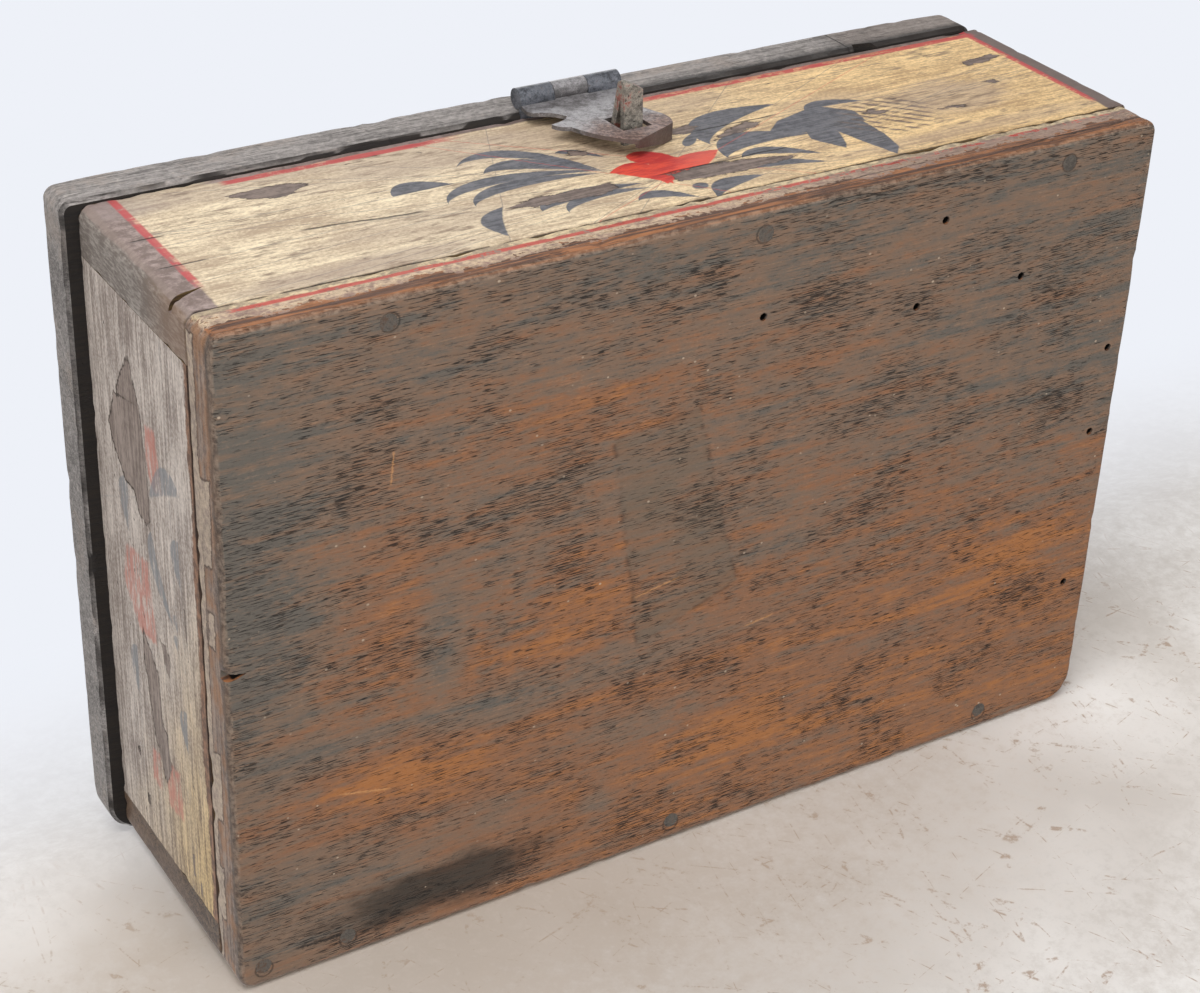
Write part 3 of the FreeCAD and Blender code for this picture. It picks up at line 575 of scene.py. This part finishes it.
def front_border(g):
    """One on the greyed border outside the red lines."""
    return g.most(
        g.step(g.x + g.jag * 0.5, left_line, left_line - 0.8),
        g.step(g.x + g.jag * 0.5, right_line, right_line + 0.8),
        g.step(g.z + g.jag * 0.3, top_line + 0.9, top_line + 1.4) * g.step(g.x, -100.0, -94.0))


def front_lines(g, colour, border):
    """The greyed border and the worn red lines inside it."""
    x, z = g.x, g.z
    mauve = g.blend(g.step(g.fine * 0.6 + g.cloud * 0.4, 0.4, 0.62), "77665f", "a8958f")
    mauve = g.blend(g.step(x, -110.0, -60.0) * 0.4 + g.step(x, 100.0, 124.0) * 0.5, mauve, "685a55")
    colour = g.blend(border, colour, mauve)
    grey_strip = g.step(z + g.jag, 58.0, 63.0) * g.step(x, -98.0, -118.0)
    colour = g.blend(grey_strip * 0.6, colour, "8f7f7a")
    wear = g.step(g.fine * 0.6 + g.dabs * 0.5 + (g.cloud - 0.5) * 0.6, 0.46, 0.54)
    fade = g.most(g.step(x, -30.0, -44.0), g.step(x, 14.0, 22.0))
    lines = g.most(
        line(g, x + g.jag * 0.3, left_line - 0.3, 1.0) * g.step(z, 20.0, 26.0),
        line(g, x + g.jag * 0.3, right_line + 0.3, 0.9) * g.step(z, 16.0, 20.0),
        line(g, z + g.jag * 0.25, top_line, 1.2) * between(g, x, -92.0, 120.5, 3.0) * fade)
    return g.blend(lines * g.scaled(wear, 0.45, 0.45), colour, "b9474a")


def leaf_scratches(g):
    """Scratches slanting down to the right beyond the worn leaf."""
    slope = (g.x - 60.0) * 0.72 + (g.z - 36.0) * 0.69
    comb = g.step(g.math("SINE", slope * 2.3 + (g.fine - 0.5) * 2.0), 0.15, 0.6)
    field = clouds(g, g.x, g.z, [((67, 33), (13, 10), 0.85)], (g.cloud - 0.5) * 0.8, 0.25)
    return comb * field * g.step(g.dabs, 0.36, 0.52)


def front_bare(g, colour, border):
    """Lost paint: bare grey-brown wood, with painted shade along the torn edge of the paint. Also gives
    where it is bare.
    """
    fret = (g.fine - 0.5) * 2.2 + (g.tiny - 0.5) * 0.9 + (g.dabs - 0.5) * 2.0
    losses = front_losses(g, g.x, g.z) + fret - 0.35
    losses = g.most(losses, paint_chips(g, (3.4, 3.4, 1.4), 0.735, 11.0))
    bare = g.most(g.step(losses, 0.0, 0.25), leaf_scratches(g)) * (1.0 - border * 0.8)
    under = g.blend(g.step(g.grain * 0.6 + g.fine * 0.4, 0.4, 0.62), "5c4f4a", "85756c")
    colour = g.blend(bare, colour, under)
    # Painted shade along the torn edge of the paint
    torn_edge_shade = line(g, losses, 0.1, 0.25, 0.25) * g.step(g.dabs, 0.42, 0.55)
    colour = g.blend(torn_edge_shade * 0.75 * (1.0 - border), colour, "33251f")
    return colour, bare


def front_cracks(g):
    x, z = g.x, g.z
    sway = (g.noise((26.0, 26.0, 26.0), detail=3.0, shift=2.0) - 0.5) * 3.0 + g.jag * 0.35
    tremor = g.jag * 0.3
    return g.most(
        line(g, z + (x + 88.0) * 0.14 + sway, 37.9, 0.35, 0.25) * between(g, x, -86.0, -62.0, 4.0),
        line(g, z + sway, 27.6, 0.25, 0.2) * between(g, x, 0.0, 32.0, 4.0),
        line(g, z + sway, 45.6, 0.2, 0.2) * between(g, x, 22.0, 40.0, 4.0),
        line(g, z + tremor, 33.6, 0.2, 0.2) * between(g, x, -121.5, -114.0, 3.0),
        line(g, z + tremor, 48.6, 0.25, 0.2) * between(g, x, -122.5, -117.0, 2.0))


def front_ends(g, colour):
    """End grain at both ends, and bare wood inside the box."""
    end_face = g.step(g.size_of(g.nx), 0.55, 0.8)
    rough_end = g.noise((1.2, 0.7, 2.6), detail=4.0, rough=0.7)
    end_wood = g.blend(g.step(rough_end * 0.6 + g.cloud * 0.4, 0.4, 0.62), "6f655e", "a0978f")
    end_wood = g.blend(g.step(g.z + (g.fine - 0.5) * 10.0, 40.0, 16.0) * 0.5, end_wood, "8a6a52")
    colour = g.blend(end_face, colour, end_wood)
    arris = g.step(g.size_of(g.nx), 0.12, 0.4) * (1.0 - end_face)
    colour = g.blend(arris * 0.6, colour, "8a7b72")
    inside = g.step(g.ny, -0.5, -0.2) * (1.0 - end_face)
    return g.blend(inside, colour, inner_wood(g, g.grain))


def painted_front():
    g = Graph("painted_front")
    g.tiny = g.noise((0.9, 0.9, 0.6), detail=2.0, rough=0.6)
    g.fine = g.noise((2.2, 2.2, 1.7), detail=4.0, rough=0.68)
    g.cloud = g.noise((24.0, 24.0, 9.0), detail=4.0, rough=0.62)
    g.grain = streaks(g, "X", length=26.0, width=1.0)
    g.dabs = g.noise((7.0, 7.0, 1.3), detail=4.0, rough=0.65, shift=6.0)
    g.jag = (g.fine - 0.5) * 1.4 + (g.cloud - 0.5) * 0.8
    border = front_border(g)
    colour = front_ornament(g, front_cream(g))
    colour = front_lines(g, colour, border)
    colour, bare = front_bare(g, colour, border)
    crack = front_cracks(g)
    seam = g.step(g.z + g.jag * 0.1, board_top + 0.45, board_top + 0.15)
    colour = g.blend(g.most(crack * 0.8, seam * 0.9), colour, joint_black)
    colour = front_ends(g, colour)
    height = g.fine * 0.4 + g.grain * 0.3 - bare * 1.1 - crack * 1.2
    return g.finish(colour, 0.62, height, depth=0.3, specular=0.3)


def end_losses(g, across, up):
    """Where the left end's paint has come off."""
    return patches(g, across, up, (
        [(-60, 45.5), (-50, 41), (-47, 57), (-50, 55), (-68, 52)],
        [(-52, 41.2), (-40, 39.4), (-27, 38.4), (-25.8, 53.5),
         (-28, 57.8), (-33, 60), (-36, 62.8), (-47.4, 57)],
        [(-29, 38.3), (-17.6, 40.2), (-15.8, 44), (-20.8, 46), (-21.4, 51), (-28, 55)],
        [(16.8, 43.4), (20.5, 40.4), (34, 39.6), (45, 42),
         (43, 45.2), (33, 47.2), (20.5, 49.8), (11.8, 48.8)],
        [(36, 37), (45.5, 35.8), (52.4, 40), (44, 44), (34, 41)],
        [(8.6, 38.6), (8.2, 34.6), (11.8, 32.2), (17.4, 33.5), (14.3, 36.4)],
        [(-9.6, 21.2), (5.2, 20.4), (5.6, 21.6), (-9, 22.4)],
        [(62.6, 24.6), (70, 24.2), (70, 26.4), (63, 26.4)],
        [(68.6, 20.8), (73.2, 20.8), (73, 22.4), (69, 22.2)],
        [(63.4, 51.8), (67.6, 52), (67, 54.2), (63.6, 54)],
        [(51.8, 57), (54.4, 57), (54.2, 59.2), (52, 59)]))


def end_paint(g):
    """Grey paint, yellow towards the back and the bottom, with dirt that follows the grain."""
    yellow = g.step(g.y * 0.5 - g.z * 0.9 + (g.cloud - 0.5) * 36.0, -34.0, 26.0)
    light = g.blend(yellow, "d2c6bc", "dabd8b")
    dark = g.blend(yellow, "82746c", "7f674c")
    paint = g.blend(g.step(g.grain * 0.45 + g.tiny * 0.25 + g.cloud * 0.3, 0.38, 0.62), dark, light)
    dirt = g.step(g.dabs * 0.6 + g.grain * 0.3 + g.cloud * 0.2, 0.60, 0.72)
    return g.blend(dirt * 0.75, paint, "6f6057")


def end_ornament(g, paint):
    """Faded pink petals and grey leaves."""
    y, z = g.y, g.z
    soft = (g.fine - 0.5) * 3.0
    pinks = patches(g, y, z, (
        [(-49, 33), (-34, 30.5), (-32, 36), (-36, 39.5), (-48, 39)],
        [(-10, 42), (12, 40), (14, 50), (4, 59), (-8, 56)],
        [(43, 31), (57, 29.5), (58, 39), (44, 40.5)],
        [(45, 43), (57, 43.4), (56, 49), (46, 48)])) + soft
    paint = g.blend(g.step(pinks, -0.5, 1.0) * g.step(g.dabs, 0.36, 0.56) * 0.75, paint, "bd7a6c")
    greys = union(g, [stroke(g, y, z, *leaf) for leaf in (
        ((-38.5, 20.5), (-29.0, 39.0), 0.5, 6.5),
        ((-26.0, 23.0), (-13.0, 23.0), 0.0, 4.8),
        ((21.0, 24.0), (33.0, 24.5), 0.0, 4.4),
        ((-27.0, 52.0), (-12.0, 53.5), 0.0, 5.4),
        ((20.0, 53.5), (35.0, 54.0), 0.0, 4.6),
        ((-20.0, 39.0), (0.0, 29.0), 0.6, 5.4),
        ((-4.4, 26.4), (0.4, 26.4), 0.0, 2.4),
        ((1.6, 27.0), (5.8, 27.0), 0.0, 2.2))]) + soft * 0.25
    return g.blend(g.step(greys, -0.3, 0.4) * g.step(g.dabs, 0.34, 0.5) * 0.75, paint, "7d8084")


def painted_end(name, side):
    """An end wall's paint. side is -1 at the left end and 1 at the right end."""
    g = Graph(name)
    g.tiny = g.noise((0.8, 0.9, 0.6), detail=2.0, rough=0.6)
    g.fine = g.noise((1.8, 2.6, 1.4), detail=4.0, rough=0.68)
    g.cloud = g.noise((20.0, 22.0, 10.0), detail=4.0, rough=0.62)
    g.grain = streaks(g, "Y", length=26.0, width=1.0)
    g.dabs = g.noise((6.0, 8.0, 1.3), detail=4.0, rough=0.65, shift=6.0)
    colour = end_ornament(g, end_paint(g))
    # Lost paint, with painted shade along the torn edge of the paint
    fret = (g.fine - 0.5) * 2.2 + (g.tiny - 0.5) * 0.9 + (g.dabs - 0.5) * 2.4
    losses = end_losses(g, g.y, g.z) + fret - 0.3
    losses = g.most(losses, paint_chips(g, (3.0, 3.6, 1.3), 0.725, 5.0))
    lost = g.step(losses, 0.0, 0.25)
    under = g.blend(g.step(g.grain * 0.6 + g.fine * 0.4, 0.4, 0.6), "72645c", "9a8b82")
    colour = g.blend(lost, colour, under)
    torn_edge_shade = line(g, losses, 0.1, 0.3, 0.25) * g.step(g.dabs + (g.z - 42.0) * 0.012, 0.4, 0.56)
    colour = g.blend(torn_edge_shade * 0.85, colour, "38291f")
    # Worn to the wood along the joint with the bottom board
    low = g.step(g.z + (g.fine - 0.5) * 3.0 + (g.cloud - 0.5) * 7.0, 15.0, 14.2)
    colour = g.blend(low, colour, g.blend(g.step(g.fine, 0.4, 0.6), "6a5346", "94705a"))
    seam = g.step(g.z, board_top + 0.7, board_top + 0.3)
    colour = g.blend(seam * 0.85, colour, joint_black)
    inside = g.step(g.nx * side, 0.5, 0.2)
    colour = g.blend(inside, colour, inner_wood(g, g.grain))
    height = g.fine * 0.4 + g.grain * 0.3 - lost * (1.0 - low) * 1.3
    return g.finish(colour, 0.68, height, depth=0.35, specular=0.25)


def lid_wood():
    g = Graph("lid_wood")
    tiny = g.noise((0.9, 0.7, 0.7), detail=3.0, rough=0.65)
    fine = g.noise((2.6, 1.5, 1.5), detail=4.0, rough=0.7)
    cloud = g.noise((18.0, 12.0, 12.0), detail=4.0, rough=0.62)
    grain = streaks(g, "X", length=30.0, width=0.8)
    slit = pores(g, "X")
    mix = g.step(fine * 0.3 + tiny * 0.2 + cloud * 0.2 + grain * 0.3, 0.38, 0.62)
    colour = g.blend(mix, "67625f", "a9a29e")
    brown = g.step(cloud + (fine - 0.5) * 0.5, 0.52, 0.7)
    colour = g.blend(brown * 0.3, colour, "84705f")
    speck = g.step(tiny * 0.5 + fine * 0.5, 0.60, 0.68)
    colour = g.blend(speck * 0.6, colour, "c2b6a6")
    top = g.step(g.nz, 0.6, 0.9)
    colour = g.blend(top * 0.45, colour, "5c5450")
    # Towards the right the front is browner, and its lower edge is painted nearly black as shade
    colour = g.blend(g.step(g.x, 80.0, 88.0) * 0.45 * (1.0 - top), colour, "76685f")
    low = g.step(g.z + (fine - 0.5) * 2.0, lid_underside + 4.4, lid_underside + 0.8)
    dark = low * g.step(g.x + (cloud - 0.5) * 50.0, -70.0, 40.0)
    colour = g.blend(dark * 0.85, colour, "242323")
    shake = fine - 0.5
    crack = g.most(
        line(g, g.x + shake, 84.0, 0.2, 0.15),
        line(g, g.x + (g.z - rim) * 0.5 + shake, -49.0, 0.12, 0.15) * 0.6)
    colour = g.blend(crack * g.step(g.ny, -0.3, -0.6) * 0.8, colour, "1b1817")
    colour = g.blend(slit * 0.45, colour, "2a2625")
    worn = g.arris(0.2, 0.5) * g.step(g.nz, 0.0, 0.3) * g.step(fine, 0.35, 0.6)
    colour = g.blend(worn * 0.4, colour, "b5ada6")
    # Underneath: painted shade, near black, where it overhangs; plain wood inside
    inside = g.step(g.nz, -0.6, -0.8)
    inner = inner_wood(g, grain, "46372c", "705a40")
    overhang_shade = g.most(
        g.step(g.size_of(g.x), half_length - 3.0, half_length - 1.0),
        g.step(g.size_of(g.y), half_depth - 3.0, half_depth - 1.0))
    inner = g.blend(overhang_shade * 0.93, inner, "1d1b1b")
    colour = g.blend(inside, colour, inner)
    height = fine * 0.5 + grain * 0.4 + tiny * 0.25 - slit * 0.6 - crack * 0.8
    return g.finish(colour, 0.68, height, specular=0.3)


def iron(name, light, dark, rust, rust_share=0.5, polish=0.5, pitting=0.4):
    """Old wrought iron: dull scale, thin rust and a little bare metal."""
    g = Graph(name)
    tiny = g.noise((0.35, 0.35, 0.35), detail=3.0, rough=0.6)
    fine = g.noise((1.1, 1.1, 1.1), detail=4.0, rough=0.7)
    cloud = g.noise((6.0, 6.0, 6.0), detail=4.0, rough=0.6, shift=4.0)
    pits = g.step(g.noise((0.8, 0.8, 0.8), detail=3.0, rough=0.6, shift=9.0), 0.62, 0.70)
    colour = g.blend(g.step(fine * 0.4 + cloud * 0.4 + tiny * 0.2, 0.38, 0.62), dark, light)
    rusty = g.step(cloud + (fine - 0.5) * 0.8, 1.0 - rust_share, 1.15 - rust_share)
    colour = g.blend(rusty * 0.8, colour, rust)
    colour = g.blend(pits * pitting, colour, "1c1816")
    rough = g.step(rusty, 0.0, 1.0, polish, 0.75)
    height = fine * 0.6 + cloud * 0.6 + tiny * 0.2 - pits * pitting
    return g.finish(colour, rough, height, depth=0.2, metallic=0.3, specular=0.5)


def plate_iron():
    """The hanging plate: dull grey, darker on its thin sides and rusty towards its tip."""
    g = Graph("hasp_iron")
    tiny = g.noise((0.35, 0.35, 0.35), detail=3.0, rough=0.6)
    fine = g.noise((1.2, 1.2, 1.2), detail=4.0, rough=0.7)
    cloud = g.noise((7.0, 7.0, 7.0), detail=4.0, rough=0.6, shift=4.0)
    scale = g.step(fine * 0.35 + cloud * 0.45 + tiny * 0.2, 0.38, 0.62)
    colour = g.blend(scale, "5a5555", "b0adaf")
    low = g.step(g.z + (cloud - 0.5) * 26.0, 58.0, 42.0)
    rust = g.blend(g.step(fine, 0.4, 0.62), "5f463d", "a07f70")
    colour = g.blend(low * 0.75, colour, rust)
    dark = g.step(cloud + (fine - 0.5) * 0.6, 0.60, 0.72)
    colour = g.blend(dark * 0.6, colour, "4a4544")
    rim_face = g.step(g.size_of(g.ny), 0.7, 0.4)
    colour = g.blend(rim_face * g.step(fine, 0.35, 0.55) * 0.7, colour, "3c3937")
    rough = g.step(low, 0.0, 1.0, 0.38, 0.6)
    height = fine * 0.6 + cloud * 0.7 + tiny * 0.2
    return g.finish(colour, rough, height, metallic=0.35, specular=0.5)


# Worn edges: each board's mesh is made finer near its outer edges and dented there

def cut(shape, geometry, axis, place):
    """Cuts the given geometry by the plane where this axis has this place, in millimetres."""
    normal = Vector((0.0, 0.0, 0.0))
    normal[axis] = 1.0
    point = normal * place * mm
    made = bmesh.ops.bisect_plane(shape, geom=geometry, dist=1e-7, plane_co=point, plane_no=normal)
    return made["geom"]


def nearness(point, low, high):
    """One on an outer edge of a board, falling to zero where the last row is cut."""
    gaps = sorted(min(point[i] - low[i], high[i] - point[i]) for i in range(3))
    return max(0.0, 1.0 - math.hypot(gaps[0], gaps[1]) / edge_rows[-1])


def refine_edges(shape, low, high):
    """Cuts rows beside the outer faces, and the faces near the edges into short facets."""
    geometry = shape.verts[:] + shape.edges[:] + shape.faces[:]
    for axis in range(3):
        for row in edge_rows:
            geometry = cut(shape, geometry, axis, low[axis] + row)
            geometry = cut(shape, geometry, axis, high[axis] - row)
    faces = [face for face in shape.faces if nearness(face.calc_center_median() / mm, low, high) > 0]
    geometry = list({part for face in faces for part in (face, *face.edges, *face.verts)})
    for axis in range(3):
        length = high[axis] - low[axis]
        count = int(length / facet)
        for number in range(1, count):
            geometry = cut(shape, geometry, axis, low[axis] + length * number / count)


def dents(shape, low, high, depth, grain_size):
    """How far each vertex near an edge moves inward: a little everywhere, and more at scattered chips."""
    moves = {}
    for vert in shape.verts:
        point = vert.co / mm
        near = nearness(point, low, high)
        if near > 0.01:
            broad = noise.noise(point / (3.0 * grain_size)) * 0.5 + 0.5
            small = noise.noise(point / grain_size + Vector((7.0, 3.0, 1.0)))
            chip = max(0.0, small - 0.12) * 2.2
            moves[vert] = -vert.normal * (depth * near * (0.35 * broad + chip) * mm)
    return moves


def worn_board(name, body, depth, grain_size):
    """Shows a board by a finer copy of its mesh with dented outer edges."""
    shape = bmesh.new()
    shape.from_mesh(nodes[name].data)
    bmesh.ops.remove_doubles(shape, verts=shape.verts, dist=1e-6)
    low, high = (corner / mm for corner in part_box(name))
    refine_edges(shape, low, high)
    shape.normal_update()
    moves = dents(shape, low, high, depth, grain_size)
    for face in shape.faces:
        untouched = not any(vert in moves for vert in face.verts)
        face.smooth = not (untouched and max(abs(part) for part in face.normal) > 0.999)
    for vert, move in moves.items():
        vert.co += move
    mesh = bpy.data.meshes.new("worn_" + name)
    shape.to_mesh(mesh)
    shape.free()
    # Normals stored with the CAD mesh no longer fit the finer one
    stored = mesh.attributes.get("custom_normal")
    if stored:
        mesh.attributes.remove(stored)
    mesh.set_sharp_from_angle(angle=math.radians(38))
    made = bpy.data.objects.new("worn_" + name, mesh)
    bpy.context.scene.collection.objects.link(made)
    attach(made, body)
    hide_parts(name)
    return made


def dress(name, material):
    """Gives a CAD node its material."""
    slots = nodes[name].data.materials
    if len(slots):
        for number in range(len(slots)):
            slots[number] = material
    else:
        slots.append(material)


def dress_all():
    # Each board with its body and material, how deep its edges are worn and how wide the dents are
    boards = (
        ("bottom_board", "box", bottom_wood(), 0.6, 3.4),
        ("front_wall", "box", painted_front(), 0.4, 2.6),
        ("left_end_wall", "box", painted_end("painted_left_end", -1), 0.3, 2.6),
        ("right_end_wall", "box", painted_end("painted_right_end", 1), 0.3, 2.6),
        ("back_wall", "box", plain_wood("aged_back", "X", "7d6450", "463529"), 0.4, 2.6),
        ("lid_board", "lid", lid_wood(), 0.45, 3.8))
    for name, body, material, depth, grain_size in boards:
        dress(name, material)
        made = worn_board(name, body, depth, grain_size)
        made.data.materials.clear()
        made.data.materials.append(material)
        if name == "front_wall":
            dress("front_wall_nails", material)
    dark_iron = iron("dark_iron", "7b7e86", "303136", "55453e", 0.38, 0.36, 0.3)
    rough_iron = iron("rough_iron", "a8a296", "4f4a45", "8a3a30", 0.46, 0.6, 0.85)
    nail_iron = iron("nail_iron", "6f675e", "48413b", "5d4536", 0.5, 0.6, 0.5)
    dress("hasp_plate", plate_iron())
    dress("staple", rough_iron)
    for name in ("hasp_lid_leaf", "hasp_pin", "hasp_lid_nails"):
        dress(name, dark_iron)
    for name in ("bottom_nails", "back_wall_nails", "hinge_wall_nails", "hinge_lid_nails"):
        dress(name, nail_iron)
    for side in ("left", "right"):
        for word in ("hinge_wall_leaf", "hinge_lid_leaf", "hinge_pin"):
            dress(side + "_" + word, dark_iron)


# Stage: the table behind the box as it stands in the photograph, and a floor under it

def stage_sheet(name, points, faces, material):
    mesh = bpy.data.meshes.new(name)
    mesh.from_pydata(points, [], faces)
    mesh.materials.append(material)
    mesh.shade_smooth()
    made = bpy.data.objects.new(name, mesh)
    bpy.context.scene.collection.objects.link(made)


def one_sided(g, surface):
    """Shows the surface to the camera from its front, and nothing to other rays."""
    clear = g.node("BsdfTransparent")
    path = g.node("LightPath")
    place = g.node("NewGeometry")
    seen = Wire(g, path.outputs["Is Camera Ray"]) * (1.0 - Wire(g, place.outputs["Backfacing"]))
    both = g.node("MixShader", ((0, seen),))
    g.tree.links.new(clear.outputs[0], both.inputs[1])
    g.tree.links.new(surface, both.inputs[2])
    end = g.node("OutputMaterial")
    g.tree.links.new(both.outputs[0], end.inputs["Surface"])
    return g.material


def hairlines(g, heading, layer):
    """Thin wandering lines along a heading on the table."""
    a, b = heading
    along = g.x * a + g.z * b
    across = g.x * -b + g.z * a
    at = g.spot(along * 0.006, across * 0.05, 3.0 * layer)
    wave = g.node("TexNoise", (("Vector", at), ("Scale", 1.0), ("Detail", 2.0), ("Roughness", 0.5)))
    return g.step(g.size_of(Wire(g, wave.outputs[0]) - 0.5), 0.0055, 0.0015)


def table_material():
    """White paint, thinly scratched near the box, with warm painted shade beside the box's lower edge,
    fading into a pale backdrop.
    """
    g = Graph("table_top")
    cloud = g.noise((60.0, 60.0, 60.0), detail=3.0)
    fine = g.noise((4.0, 4.0, 4.0), detail=6.0, rough=0.75)
    colour = g.blend(g.step(cloud * 0.5 + fine * 0.5, 0.35, 0.65), "cbc5bf", "e6e3e0")
    near = g.step(g.z + (cloud - 0.5) * 60.0, 90.0, 10.0)
    headings = ((0.9, 0.3), (0.4, -0.9), (0.75, -0.6), (0.2, 0.95))
    marks = union(g, [hairlines(g, heading, layer) for layer, heading in enumerate(headings)])
    scratch = marks * g.step(fine, 0.5, 0.62)
    colour = g.blend(scratch * near * 0.7, colour, "9c7f66")
    # Warm painted shade on the table beside the box's lower edge
    warm_contact_shade = clouds(g, g.x, g.z, [((-80, 0), (150, 60), 0.7)], (fine - 0.5) * 2.6, 0.8)
    colour = g.blend(warm_contact_shade * near, colour, "ac9d8e")
    diffuse = g.node("BsdfDiffuse", (("Color", colour), ("Roughness", 0.6)))
    backdrop = g.node("Emission", (("Color", hue(backdrop_white)), ("Strength", 1.0)))
    far = g.node("MixShader", ((0, g.step(g.z, 20.0, 190.0)),))
    g.tree.links.new(diffuse.outputs[0], far.inputs[1])
    g.tree.links.new(backdrop.outputs[0], far.inputs[2])
    return one_sided(g, far.outputs[0])


def floor_material():
    g = Graph("floor_top")
    cloud = g.noise((90.0, 90.0, 90.0), detail=3.0)
    colour = g.blend(cloud, "eceae8", "f6f5f4")
    diffuse = g.node("BsdfDiffuse", (("Color", colour), ("Roughness", 0.6)))
    return one_sided(g, diffuse.outputs[0])


def make_stage():
    reach = 3.0
    # The table passes just behind the back wall and bends away beyond the rim, clear of an opened lid
    behind = half_depth * mm + 0.0003
    rim_height = rim * mm
    profile = (
        (-1.0, 0.0),
        (rim_height - 0.004, 0.0),
        (rim_height + 0.03, 0.012),
        (0.25, 0.032),
        (0.5, 0.036),
        (4.0, 0.036))
    points = [(side * reach, behind + away, z) for z, away in profile for side in (-1, 1)]
    faces = [(2 * i, 2 * i + 1, 2 * i + 3, 2 * i + 2) for i in range(len(profile) - 1)]
    stage_sheet("table", points, faces, table_material())
    under = -0.0004
    corners = [(x * reach, y * reach, under) for x, y in ((-1, -1), (1, -1), (1, 1), (-1, 1))]
    stage_sheet("floor", corners, [(0, 1, 2, 3)], floor_material())


def lamp(name, place, aim, size, power):
    data = bpy.data.lights.new(name, "AREA")
    data.shape = "SQUARE"
    data.size = size
    data.energy = power
    made = bpy.data.objects.new(name, data)
    made.location = place
    made.rotation_euler = (Vector(aim) - Vector(place)).to_track_quat("-Z", "Y").to_euler()
    made.visible_camera = False
    bpy.context.scene.collection.objects.link(made)


def light_scene():
    middle = (0.0, 0.0, 0.04)
    lamp("key", (-0.35, -1.25, -0.35), middle, 0.8, 10.5)
    lamp("left_fill", (-1.2, -0.5, -0.5), middle, 1.0, 6.0)
    lamp("front_low_fill", (0.2, -0.2, -1.3), middle, 0.9, 7.0)
    lamp("top", (0.2, -0.3, 1.4), middle, 1.2, 8.0)
    lamp("right_fill", (1.3, 0.2, 0.5), middle, 1.0, 6.0)
    lamp("back_fill", (-0.3, 1.3, 0.6), middle, 1.0, 8.0)


def make_world():
    """Soft white light, and a pale backdrop for the camera."""
    world = bpy.data.worlds.new("studio")
    bpy.context.scene.world = world
    world.use_nodes = True
    tree = world.node_tree
    tree.nodes.clear()
    light = tree.nodes.new("ShaderNodeBackground")
    light.inputs["Color"].default_value = (1.0, 1.0, 1.0, 1.0)
    light.inputs["Strength"].default_value = 0.45
    seen = tree.nodes.new("ShaderNodeBackground")
    seen.inputs["Color"].default_value = hue(backdrop_white)
    seen.inputs["Strength"].default_value = 1.0
    path = tree.nodes.new("ShaderNodeLightPath")
    both = tree.nodes.new("ShaderNodeMixShader")
    end = tree.nodes.new("ShaderNodeOutputWorld")
    tree.links.new(path.outputs["Is Camera Ray"], both.inputs[0])
    tree.links.new(light.outputs[0], both.inputs[1])
    tree.links.new(seen.outputs[0], both.inputs[2])
    tree.links.new(both.outputs[0], end.inputs["Surface"])


def make_camera():
    """Stands below, to the left and in front of the box, where the photograph was taken from."""
    place = Vector((-0.2955, -0.3179, -0.4141))
    forward = Vector((0.460, 0.515, 0.724)).normalized()
    up_hint = Vector((0.242, -0.857, 0.456))
    right = forward.cross(up_hint).normalized()
    up = right.cross(forward)
    data = bpy.data.cameras.new("camera")
    data.sensor_width = 36.0
    data.lens = 74.36
    data.clip_start = 0.01
    data.clip_end = 100.0
    made = bpy.data.objects.new("camera", data)
    turn = Matrix((right, up, -forward)).transposed().to_4x4()
    made.matrix_world = Matrix.Translation(place) @ turn
    bpy.context.scene.collection.objects.link(made)
    bpy.context.scene.camera = made


dress_all()
make_stage()
light_scene()
make_world()
make_camera()
bpy.context.scene.view_settings.view_transform = "Standard"
